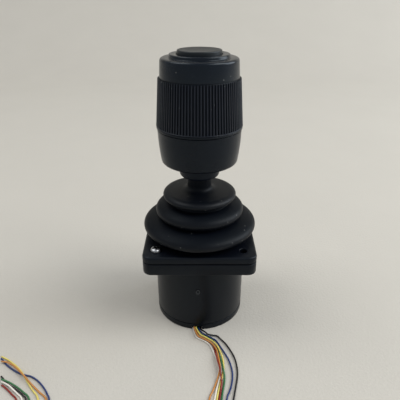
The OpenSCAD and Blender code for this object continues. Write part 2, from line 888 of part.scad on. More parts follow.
blue_route = [[-0.37, -19.6, 0.45], [-0.37, -21.6, 0.45], [1.38, -24.27, 0.45],
    [3.09, -25.45, 0.45], [5.38, -27.15, 0.45], [7.5, -28.8, 0.45], [9, -31.6, 0.45],
    [11.1, -36.1, 0.45], [12.8, -40.2, 0.45], [13.8, -45, 0.45], [13.9, -49.1, 0.45],
    [13.2, -53.4, 0.45], [12.1, -56.8, 0.45], [10.9, -60.2, 0.45], [9.2, -72, 0.45],
    [6.9, -82, 0.45], [3.7, -91.9, 0.45], [-4.4, -99.9, 0.45], [-15.9, -104.9, 0.45],
    [-21.9, -106.3, 1.3], [-29, -105, 1.35], [-40.5, -100.9, 1.35], [-45.5, -98.6, 1.1],
    [-49.9, -96.1, 0.45], [-56.3, -89.7, 0.45], [-58.5, -82, 0.45], [-57.9, -71, 0.45],
    [-58.4, -65.5, 0.45], [-59.8, -60.3, 0.45], [-61.4, -57.8, 0.45], [-63.6, -55, 0.45],
    [-67, -51.7, 0.45], [-70.7, -49.3, 0.45], [-74.11, -48.3, 0.45], [-77.41, -47.1, 0.45],
    [-80.9, -45.1, 0.45], [-83.9, -42.99, 0.45], [-86.1, -40.89, 0.45], [-87.9, -39.42, 0.45]];
green_route = [[-1.23, -19.6, 0.45], [-1.23, -21.6, 0.45], [0.45, -24.85, 0.45],
    [2.5, -26.3, 0.45], [4.7, -27.9, 0.45], [6.6, -29.6, 0.45], [7.8, -32, 0.45],
    [8.54, -35.11, 0.45], [9.08, -39.02, 0.54], [9.8, -43.3, 1.2], [10.23, -46.7, 1.36],
    [10.53, -49.41, 0.74], [10.3, -52.2, 0.45], [9.6, -55.9, 0.45], [8.9, -60.2, 0.45],
    [7.4, -72, 0.45], [5.3, -82, 0.45], [2.2, -91.3, 0.45], [-5.5, -98.7, 0.45],
    [-16.5, -103.4, 0.45], [-29, -106, 0.45], [-42, -104.6, 0.45], [-53.3, -99.5, 0.45],
    [-60.7, -91.5, 0.45], [-63.3, -82, 0.45], [-63.4, -70.2, 0.45], [-67.9, -60.1, 0.45],
    [-71.56, -56.76, 0.45], [-74.69, -54.59, 0.5], [-77.78, -53.08, 1.04],
    [-80.58, -51.97, 1.34], [-82.8, -51.1, 1.2]];
red_route = [[-2.09, -19.6, 0.45], [-2.09, -21.6, 0.45], [-0.48, -25.75, 0.45],
    [1.6, -27.33, 0.45], [3.7, -28.8, 0.45], [5.52, -30.79, 0.45], [6.68, -33.52, 0.51],
    [7.24, -37.62, 1.2], [7.84, -41.71, 1.82], [8.49, -45.2, 2.14], [8.8, -48.21, 2.03],
    [9, -50.8, 1.5], [9.08, -53.31, 1.26], [8.64, -56.15, 0.64], [7.86, -60.2, 0.45],
    [7.5, -63.5, 0.9], [8, -67, 1.35], [9.7, -72, 1.4], [11.3, -77.5, 1.3], [10.3, -83.5, 0.45],
    [7.1, -93.3, 0.45], [-1.4, -102.9, 0.45], [-14, -109.4, 0.45], [-29, -111.6, 0.45],
    [-44, -109.4, 0.45], [-56.6, -102.9, 0.45], [-65.1, -93.3, 0.45], [-68.1, -82, 0.45],
    [-69, -69.4, 0.45], [-72.6, -60.8, 0.45], [-75.9, -57.7, 0.45], [-78.2, -55.8, 0.45],
    [-80.4, -54.2, 0.45], [-82.1, -53.2, 0.45]];
yellow_route = [[-1.66, -19.6, 1.2], [-1.66, -21.6, 1.2], [0.18, -25.8, 1.36],
    [2.1, -27.17, 1.27], [4.2, -28.6, 1.2], [6.2, -30.2, 1.2], [7.9, -32.69, 1.35],
    [9.07, -35.49, 1.18], [10.04, -38.38, 0.57], [10.4, -41.6, 0.45], [10.39, -44.9, 0.45],
    [9.77, -48.4, 0.45], [9, -51.4, 0.45], [8.16, -54.59, 0.45], [6.96, -60.2, 0.45],
    [5.5, -72, 0.45], [3.7, -82, 0.45], [0.8, -90.7, 0.45], [-6.7, -97.6, 0.45],
    [-17.1, -102, 0.45], [-29, -104.4, 0.45], [-41.4, -103.2, 0.45], [-52.1, -98.4, 0.45],
    [-59.2, -90.9, 0.45], [-61.7, -82, 0.45], [-61.2, -70.6, 0.45], [-64.3, -60.2, 0.45],
    [-68.26, -55.62, 0.45], [-71.34, -52.22, 0.75], [-73.99, -49.19, 1.26],
    [-76.89, -46.1, 1.13], [-80.2, -43.2, 0.6], [-84.4, -40.29, 0.45], [-88.4, -38.19, 0.45]];
white_route = [[-2.95, -19.6, 0.45], [-2.95, -21.6, 0.45], [-1.42, -26.62, 0.45],
    [0.77, -28.22, 0.45], [2.98, -29.72, 0.45], [4.7, -31.6, 0.45], [5.87, -34.49, 0.45],
    [7.08, -38.1, 0.45], [8.3, -41.31, 0.45], [9.2, -44.31, 0.45], [9.2, -46.6, 0.45],
    [8.62, -49.3, 0.45], [7.9, -52.11, 0.45], [6.98, -55.57, 0.45], [6.04, -60.19, 0.45],
    [3.6, -72, 0.45], [2.1, -82, 0.45], [1.5, -86, 1.1], [-0.2, -91.1, 1.35],
    [-3.6, -100.3, 1.35], [-8, -105.2, 1.1], [-14.6, -107.9, 0.45], [-29, -110, 0.45],
    [-43.4, -107.9, 0.45], [-55.5, -101.8, 0.45], [-63.7, -92.7, 0.45], [-66.5, -82, 0.45],
    [-67.1, -69.8, 0.45], [-70.63, -60.46, 0.45], [-73.4, -57.74, 0.45], [-75.62, -56.14, 0.91],
    [-77.8, -54.6, 1.25], [-80.21, -53.13, 1.08], [-82.7, -51.71, 0.5]];
orange_route = [[-2.52, -19.6, 1.2], [-2.52, -21.6, 1.2], [-0.86, -26.5, 1.34],
    [1.13, -28.08, 1.28], [3.32, -29.39, 1.25], [5.18, -31.01, 1.27], [6.72, -33.19, 1.4],
    [7.77, -35.78, 1.42], [8.29, -38.79, 1.29], [8.62, -41.89, 1.33], [8.81, -44.7, 1.27],
    [8.5, -47.2, 1.22], [7.68, -50.1, 0.91], [6.59, -53.2, 0.45], [5.3, -56.6, 0.45],
    [3.9, -60.2, 0.45], [1.9, -72, 0.45], [0.3, -82, 0.45], [-1.7, -89.7, 0.45],
    [-8.1, -96.1, 0.45], [-17.7, -100.5, 0.45], [-29, -102.8, 0.45], [-40.8, -101.7, 0.45],
    [-51, -97.3, 0.45], [-57.7, -90.3, 0.45], [-60.1, -82, 0.45], [-59.4, -71, 0.45],
    [-59.9, -65.4, 0.45], [-61.1, -60.1, 0.45], [-65.1, -56.7, 0.45], [-69.04, -53.58, 0.84],
    [-71.78, -51.48, 1.85], [-74.2, -49.4, 2.11], [-77, -47, 2], [-80.6, -44.1, 1.5],
    [-83.6, -42.4, 1.28], [-85.5, -42.01, 1.32], [-86.9, -41.6, 0.9]];

module lead(route, tint) {
    color(tint)
        tube(smooth(route, 2), lead_d / 2, 8);
}

module lead_black() { lead(black_route, "#1a1a1c"); }
module lead_blue() { lead(blue_route, "#2b4fa8"); }
module lead_green() { lead(green_route, "#3f9a4c"); }
module lead_red() { lead(red_route, "#b3372f"); }
module lead_yellow() { lead(yellow_route, "#e3cf4a"); }
module lead_white() { lead(white_route, "#ecebe6"); }
module lead_orange() { lead(orange_route, "#d98232"); }

// ---------------------------------------------------------------- the pieces

housing();
bezel_plate();
clamp_screws();
boot();
end_cap();
lead_grommet();
gate_plate();
spacer_tube();
sensor_board();
hall_chips();
axle_bushings();
x_spring();
gimbal_ring();
outer_axles();
y_spring();
shaft();
pivot_block();
inner_axles();
magnet_holder();
stick_magnet();
collar();
set_screw();
retaining_ring();
twist_board();
twist_chip();
thrust_washer();
knob_base();
grip_sleeve();
top_cap();
twist_magnet();
twist_spring();
switch_plate();
push_switch();
button_cap();
switch_plunger();
button_spring();
lead_black();
lead_blue();
lead_green();
lead_red();
lead_yellow();
lead_white();
lead_orange();
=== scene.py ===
# %% [markdown]
# # A three-axis finger joystick, piece by piece
# This lesson dresses a packed construction model of a small industrial joystick: a ribbed
# knob that tilts and twists, a push button in its top, a rubber bellows boot, a square
# two-plate flange, a round body and seven thin leads. The imported model is the frame: nearly
# every piece below rides on one of its bodies, so it moves when that body moves.

import json
import math

import bmesh
import bpy
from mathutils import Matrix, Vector


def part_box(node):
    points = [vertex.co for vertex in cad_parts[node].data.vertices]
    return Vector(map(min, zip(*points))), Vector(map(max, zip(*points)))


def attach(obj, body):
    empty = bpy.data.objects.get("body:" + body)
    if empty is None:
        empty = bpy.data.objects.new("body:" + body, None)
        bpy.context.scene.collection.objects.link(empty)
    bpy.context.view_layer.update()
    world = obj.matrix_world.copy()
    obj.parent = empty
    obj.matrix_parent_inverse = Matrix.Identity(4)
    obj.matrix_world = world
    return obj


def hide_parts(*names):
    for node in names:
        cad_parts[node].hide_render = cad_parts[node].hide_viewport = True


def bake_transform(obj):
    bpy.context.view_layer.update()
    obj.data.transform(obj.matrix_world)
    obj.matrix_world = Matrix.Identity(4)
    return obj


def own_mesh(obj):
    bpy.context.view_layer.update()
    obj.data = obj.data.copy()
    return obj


MM = 0.001

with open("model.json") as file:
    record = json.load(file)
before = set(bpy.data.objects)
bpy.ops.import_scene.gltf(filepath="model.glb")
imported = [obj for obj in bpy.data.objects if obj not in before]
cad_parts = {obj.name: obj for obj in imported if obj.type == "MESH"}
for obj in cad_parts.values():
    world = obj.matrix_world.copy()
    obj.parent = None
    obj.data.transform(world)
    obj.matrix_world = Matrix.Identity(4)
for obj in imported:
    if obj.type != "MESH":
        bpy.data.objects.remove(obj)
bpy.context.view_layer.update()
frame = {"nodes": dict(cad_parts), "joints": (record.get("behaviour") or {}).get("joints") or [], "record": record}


def low_high(node):
    """Lowest and highest corner of a construction node, in millimetres."""
    low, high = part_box(node)
    return low / MM, high / MM


# %% [markdown]
# ## Camera, table and light
# The joystick stands on a pale sheet that sweeps up behind it, as on a small studio table.
# A sweep has no corner, so no line cuts the picture behind the black knob. The lamps are
# large and soft: black plastic shows little colour, and it is mostly the broad reflections
# of the lamps and the sheet that draw its form. Two lamps hang high, one on each side, and
# the right one is the stronger, so the soft shadow falls to the left. A lower, bluish one on
# the right stands for a window and draws the bright edge along the knob.

# %% Camera
CAMERA_PLACE = (0.2, -173.5, 146.3)
CAMERA_PITCH = 26.7
LENS = 37.7


def added(name, data):
    """A new object in the scene, at the origin."""
    thing = bpy.data.objects.new(name, data)
    bpy.context.collection.objects.link(thing)
    return thing


eye = bpy.data.cameras.new("camera")
eye.lens = LENS
eye.sensor_width = 36.0
eye.clip_start = 0.005
camera = added("camera", eye)
camera.location = [v * MM for v in CAMERA_PLACE]
camera.rotation_euler = (math.radians(90.0 - CAMERA_PITCH), 0.0, 0.0)
bpy.context.scene.camera = camera
bpy.context.scene.view_settings.view_transform = "Standard"
print("camera height in mm:", CAMERA_PLACE[2])


# %% [markdown]
# ## Writing node maths as sums
# A material is a small circuit of nodes, and so is a Geometry Nodes tree. Wiring dozens of
# them by hand hides the idea, so one small class wraps a node's output and lets Python's
# own signs do the maths: a * 2 adds a Multiply node. Every other node comes from one
# method, `Nodes.add`.

# %% Wires and node trees
class Wire:
    """The output of a node, which can be used in sums."""

    def __init__(self, nodes, socket):
        self.nodes = nodes
        self.socket = socket

    def __add__(self, other):
        return self.nodes.sum("ADD", self, other)

    def __sub__(self, other):
        return self.nodes.sum("SUBTRACT", self, other)

    def __rsub__(self, other):
        return self.nodes.sum("SUBTRACT", other, self)

    def __mul__(self, other):
        return self.nodes.sum("MULTIPLY", self, other)

    __radd__ = __add__
    __rmul__ = __mul__


class Nodes:
    """A node tree, and the one way in which nodes are put in it."""

    def __init__(self, tree):
        self.tree = tree

    def add(self, kind, settings=None, sockets=None, out=0):
        """A node with its settings, and a value or a wire, or a list of wires, for a socket."""
        node = self.tree.nodes.new(kind)
        for setting, value in (settings or {}).items():
            setattr(node, setting, value)
        for socket, value in (sockets or {}).items():
            for one in value if isinstance(value, list) else [value]:
                self.plug(node.inputs[socket], one)
        return Wire(self, node.outputs[out])

    def sum(self, operation, a, b=0.0):
        return self.add("ShaderNodeMath", {"operation": operation}, {0: a, 1: b})

    def plug(self, socket, value):
        if isinstance(value, Wire):
            self.tree.links.new(value.socket, socket)
        elif isinstance(value, tuple) and socket.type == "RGBA":
            socket.default_value = (*value, 1.0)
        else:
            socket.default_value = value


# %% Finishes
class Finish(Nodes):
    """A material with one Principled surface."""

    def __init__(self, name, **surface):
        self.material = bpy.data.materials.new(name)
        self.material.use_nodes = True
        super().__init__(self.material.node_tree)
        self.surface = self.tree.nodes["Principled BSDF"]
        for socket, value in surface.items():
            self.set(socket.replace("_", " "), value)

    def set(self, socket, value):
        self.plug(self.surface.inputs[socket], value)

    def place(self, stretch=(1.0, 1.0, 1.0)):
        """Where a point lies on the piece, which stays with the piece as it moves."""
        spot = self.add("ShaderNodeTexCoord", out="Object")
        if stretch == (1.0, 1.0, 1.0):
            return spot
        return self.add("ShaderNodeMapping", None, {"Vector": spot, "Scale": stretch})

    def noise(self, size, detail=2.0, spot=None, rough=0.55):
        """Soft spots about `size` millimetres across, from 0 to 1."""
        return self.add("ShaderNodeTexNoise", None, {"Vector": spot or self.place(),
            "Scale": 1.0 / (size * MM), "Detail": detail, "Roughness": rough}, out="Fac")

    def blend(self, factor, a, b):
        """Mixes two colours."""
        return self.add("ShaderNodeMix", {"data_type": "RGBA"}, {0: factor, 6: a, 7: b}, out=2)

    def length(self, vector):
        return self.add("ShaderNodeVectorMath", {"operation": "LENGTH"}, {0: vector}, out="Value")

    def rise(self, value, low, high, foot=0.0, top=1.0, curve="LINEAR"):
        """Goes from `foot` to `top` while the value goes from `low` to `high`."""
        return self.add("ShaderNodeMapRange", {"interpolation_type": curve}, {"Value": value,
            "From Min": low, "From Max": high, "To Min": foot, "To Max": top})

    def dusted(self, base, strength, cell=2.6, speck=0.085, share=0.45):
        """Lays pale specks on a colour, one in the middle of a share of the cells."""
        cells = {"Vector": self.place(), "Scale": 1 / (cell * MM)}
        near = self.add("ShaderNodeTexVoronoi", None, cells, out="Distance")
        near = self.sum("LESS_THAN", near, speck)
        picked = self.add("ShaderNodeTexVoronoi", None, cells, out="Color")
        picked = self.sum("GREATER_THAN", picked, 1 - share)
        return self.blend(near * picked * strength, base, (0.30, 0.30, 0.29))

    def relief(self, height, depth, strength=1.0):
        """Lets a height from 0 to 1 tilt the surface as relief `depth` millimetres deep."""
        self.set("Normal", self.add("ShaderNodeBump", None, {"Height": height,
            "Distance": depth * MM, "Strength": strength}))


# %% [markdown]
# ## Plastics and rubber
# The knob, flange and body are black moulded plastic. A moulded face isn't smooth: spark
# erosion leaves a fine grain in the tool, and the plastic copies it. Handling polishes the
# grain in patches. So each black finish has a grain in its relief, and slow changes in
# colour and roughness on top. Rubber is the same idea with a duller face and faint dust.

# %% Moulded plastic and rubber
COOL = (0.80, 0.92, 1.0)
# Width in mm of the painted highlight ring round the dimple's rim.
RING_LINE = 0.25


def shade(colour, share):
    return tuple(c * share for c in colour)


def moulded(name, colour, rough, grain, depth, patches=0.08, dust=0.0, rim_highlight=None, gloss=0.5):
    """Plastic: grain is its size, depth its height, in mm; an optional spot and radius in mm draw a thin painted
    highlight ring round a dimple's rim.
    """
    finish = Finish(name, Specular_IOR_Level=gloss, Specular_Tint=COOL)
    cloud = finish.noise(9.0, 3.0)
    speck = finish.noise(grain, 2.0)
    fine = finish.noise(grain * 3.1, 1.0)
    base = finish.blend(cloud, shade(colour, 0.82), shade(colour, 1.22))
    if rim_highlight:
        x, y, z, radius, narrow = rim_highlight
        away = finish.add("ShaderNodeMapping", None, {"Vector": finish.place(),
            "Location": (-x * MM, -y * MM, -z * MM * narrow), "Scale": (1.0, 1.0, narrow)})
        ring = finish.add("ShaderNodeMath", {"operation": "COMPARE"},
            {0: finish.length(away), 1: radius * MM, 2: RING_LINE * MM})
        # The lighter ring round the dimple's rim is a painted highlight.
        base = finish.blend(ring * 0.7, base, (0.060, 0.064, 0.068))
    finish.set("Base Color", finish.dusted(base, dust) if dust else base)
    finish.set("Roughness", cloud * patches + speck * 0.06 + (rough - patches / 2 - 0.03))
    finish.relief(speck * 0.7 + fine * 0.3, depth)
    return finish.material


DIMPLE = (-0.7, -20.7, 22.6)
KNOB_BLACK = moulded("knob_plastic", (0.0015, 0.0027, 0.0066), 0.28, 0.16, 0.008, gloss=0.25)
CAP_BLACK = moulded("cap_plastic", (0.0024, 0.0046, 0.0094), 0.26, 0.18, 0.007, dust=0.5,
    gloss=0.33)
BUTTON_BLACK = moulded("button_plastic", (0.0045, 0.0052, 0.0062), 0.44, 0.15, 0.010)
BEZEL_BLACK = moulded("bezel_plastic", (0.0020, 0.0030, 0.0062), 0.38, 0.20, 0.010, gloss=0.22)
# The body's finish paints a thin highlight round the rim of its dimple.
BODY_BLACK = moulded("body_plastic", (0.0024, 0.0032, 0.0060), 0.32, 0.24, 0.008, 0.10,
    rim_highlight=(*DIMPLE, 1.0, 0.72), gloss=0.22)
COLLAR_BLACK = moulded("collar_plastic", (0.0025, 0.0040, 0.0092), 0.42, 0.18, 0.010, gloss=0.20)
GROMMET_BLACK = moulded("grommet_rubber", (0.0040, 0.0044, 0.0050), 0.62, 0.20, 0.012)
print("finishes so far:", len(bpy.data.materials))


# %% [markdown]
# ## Metals, boards and the parts that nobody sees
# Metal is never quite even: tools leave fine streaks in it and fingers leave faint stains, so
# each metal has both in its roughness. The hidden pieces get their real finishes too, because
# the boot and body may be taken off in another scene: die-cast zinc, sintered bronze, natural
# nylon and green circuit board.

# %% Metals and circuit boards
def metal(name, colour, rough, grain, depth, stretch=(1.0, 1.0, 1.0)):
    finish = Finish(name, Metallic=1.0)
    streak = finish.noise(grain, 3.0, finish.place(stretch), 0.65)
    stain = finish.noise(3.0, 3.0)
    finish.set("Base Color", finish.blend(stain, shade(colour, 0.86), shade(colour, 1.08)))
    finish.set("Roughness", streak * 0.16 + stain * 0.10 + (rough - 0.13))
    finish.relief(streak, depth)
    return finish.material


def circuit_board(name):
    """Solder mask over tracks: a brick pattern stands for the runs of copper below."""
    finish = Finish(name)
    tracks = finish.add("ShaderNodeTexBrick", {"offset": 0.5}, {"Vector": finish.place(),
        "Scale": 1.0, "Brick Width": 2.6 * MM, "Row Height": 0.9 * MM, "Mortar Size": 0.12 * MM},
        out="Fac")
    cloud = finish.noise(6.0)
    mask = finish.blend(cloud, (0.010, 0.105, 0.036), (0.014, 0.135, 0.046))
    finish.set("Base Color", finish.blend(tracks, mask, (0.022, 0.200, 0.075)))
    finish.set("Roughness", cloud * 0.12 + 0.26)
    finish.relief(tracks, 0.03)
    return finish.material


# %% Finishes of the inner pieces
STEEL = metal("screw_steel", (0.46, 0.47, 0.49), 0.30, 0.35, 0.010)
AXLE_STEEL = metal("axle_steel", (0.58, 0.59, 0.61), 0.24, 0.30, 0.006, (1.0, 1.0, 0.1))
SPRING_STEEL = metal("spring_steel", (0.40, 0.41, 0.43), 0.34, 0.25, 0.006)
CAST_ZINC = metal("cast_zinc", (0.40, 0.41, 0.43), 0.50, 0.40, 0.030)
SINTERED = metal("sintered_bronze", (0.46, 0.28, 0.12), 0.46, 0.12, 0.020)
MAGNET = metal("magnet_nickel", (0.30, 0.30, 0.32), 0.32, 0.50, 0.008)
NYLON = moulded("natural_nylon", (0.68, 0.65, 0.56), 0.42, 0.30, 0.010)
CHIP_BLACK = moulded("chip_plastic", (0.020, 0.020, 0.021), 0.55, 0.10, 0.010)
BOARD = circuit_board("circuit_board")

inner_finish = {
    "gate_plate": NYLON, "spacer_tube": NYLON, "magnet_holder": NYLON, "thrust_washer": NYLON,
    "switch_plunger": NYLON, "sensor_board": BOARD, "twist_board": BOARD, "switch_plate": BOARD,
    "hall_chips": CHIP_BLACK, "twist_chip": CHIP_BLACK, "push_switch": CHIP_BLACK,
    "axle_bushings": SINTERED, "gimbal_ring": CAST_ZINC, "pivot_block": CAST_ZINC,
    "outer_axles": AXLE_STEEL, "inner_axles": AXLE_STEEL, "shaft": AXLE_STEEL,
    "set_screw": STEEL, "retaining_ring": SPRING_STEEL, "x_spring": SPRING_STEEL,
    "y_spring": SPRING_STEEL, "twist_spring": SPRING_STEEL,
    "stick_magnet": MAGNET, "twist_magnet": MAGNET,
}
for node, material in inner_finish.items():
    for slot in frame["nodes"][node].material_slots:
        slot.material = material
print("inner pieces finished:", len(inner_finish))


# %% [markdown]
# ## Turning a shape
# Nearly every outer piece is round, so its section is drawn as an outline of radius and
# height, and the outline is turned about the vertical axis, as on a lathe. Real moulded
# edges are never sharp: `eased` rounds chosen corners of the outline first, because a
# rounded edge catches a thin line of light, and that line makes a black part readable.

# %% Outlines
def eased(points, cuts=5):
    """Rounds corners. Each point is (radius, height, distance the rounding takes up)."""
    outline = []
    for i, (r, z, ease) in enumerate(points):
        here = Vector((r, z))
        if ease == 0:
            outline.append((r, z))
            continue
        before = here + (Vector(points[i - 1][:2]) - here).normalized() * ease
        after = here + (Vector(points[(i + 1) % len(points)][:2]) - here).normalized() * ease
        for k in range(cuts + 1):
            t = k / cuts
            spot = before * (1 - t) ** 2 + here * 2 * t * (1 - t) + after * t * t
            outline.append(tuple(spot))
    return outline


def angles(start, end, cuts):
    """The angles in radians from one to another in degrees, with both ends."""
    return [math.radians(start + (end - start) * k / cuts) for k in range(cuts + 1)]


def arc(centre, a, b, start, end, cuts):
    """Points of an ellipse's arc with half axes a and b, between two angles in degrees."""
    return [(centre[0] + a * math.cos(t), centre[1] + b * math.sin(t))
        for t in angles(start, end, cuts)]


# %% From an outline to a piece
def smooth(mesh, sharp):
    """Smooth shading that breaks at edges sharper than an angle in degrees."""
    mesh.shade_smooth()
    mesh.set_sharp_from_angle(angle=math.radians(sharp))


def into(mesh, work):
    """Puts a bmesh into a mesh, with its faces turned outward."""
    bmesh.ops.recalc_face_normals(work, faces=work.faces)
    work.to_mesh(mesh)
    work.free()


def piece_from(name, work, sharp=32.0):
    """A piece made of what a bmesh holds."""
    data = bpy.data.meshes.new(name)
    into(data, work)
    smooth(data, sharp)
    return added(name, data)


def loft(work, rings, colours=None):
    """Faces between each ring of corners and the next; the ends stay open."""
    colours = colours or [0] * len(rings)
    for i, (near, far) in enumerate(zip(rings, rings[1:])):
        for k in range(len(near)):
            j = (k + 1) % len(near)
            work.faces.new((near[k], near[j], far[j], far[k])).material_index = colours[i]


# %% Turned pieces
def turned(name, outline, steps=160, at=(0.0, 0.0)):
    """A closed outline of (radius, height) in millimetres, turned about a vertical axis."""
    work = bmesh.new()
    columns = []
    for r, z in outline:
        if r < 1e-6:
            columns.append([work.verts.new((at[0] * MM, at[1] * MM, z * MM))] * steps)
            continue
        spread = [2 * math.pi * k / steps for k in range(steps)]
        columns.append([work.verts.new(((at[0] + r * math.cos(a)) * MM,
            (at[1] + r * math.sin(a)) * MM, z * MM)) for a in spread])
    for i, near in enumerate(columns):
        far = columns[(i + 1) % len(columns)]
        if near[0] is near[1] and far[0] is far[1]:
            continue
        for k in range(steps):
            j = (k + 1) % steps
            work.faces.new(list(dict.fromkeys((near[k], near[j], far[j], far[k]))))
    return piece_from(name, work)


def rod(name, radius, low, high, steps, at=(0.0, 0.0)):
    """A plain upright cylinder."""
    return turned(name, [(0.0, low), (radius, low), (radius, high), (0.0, high)], steps, at)


# %% Moving, cutting and dressing a piece
def moved(piece, rule):
    """Moves every corner by a rule of its x, y and z, and turns the faces outward again."""
    work = bmesh.new()
    work.from_mesh(piece.data)
    for spot in work.verts:
        spot.co = rule(*spot.co)
    into(piece.data, work)
    return piece


def plain(piece, sharp):
    """Turns what the modifiers make into the piece's own mesh."""
    made = bpy.data.meshes.new_from_object(
        piece.evaluated_get(bpy.context.evaluated_depsgraph_get()))
    piece.modifiers.clear()
    piece.data = made
    smooth(made, sharp)


def combined(piece, tools, how="DIFFERENCE", sharp=32.0):
    """Cuts the tools out of a piece, or fuses them to it, and throws the tools away."""
    for tool in tools:
        step = piece.modifiers.new("step", "BOOLEAN")
        step.operation = how
        step.solver = "EXACT"
        step.object = tool
    plain(piece, sharp)
    for tool in tools:
        bpy.data.objects.remove(tool)
    return piece


def dress(piece, material, slot, body, *nodes):
    """Gives a piece its finish and body, and lets it stand for construction nodes."""
    piece.data.materials.clear()
    piece.data.materials.append(material)
    if body:
        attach(piece, body)
    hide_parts(*nodes)
    print(piece.name, "faces:", len(piece.data.polygons))
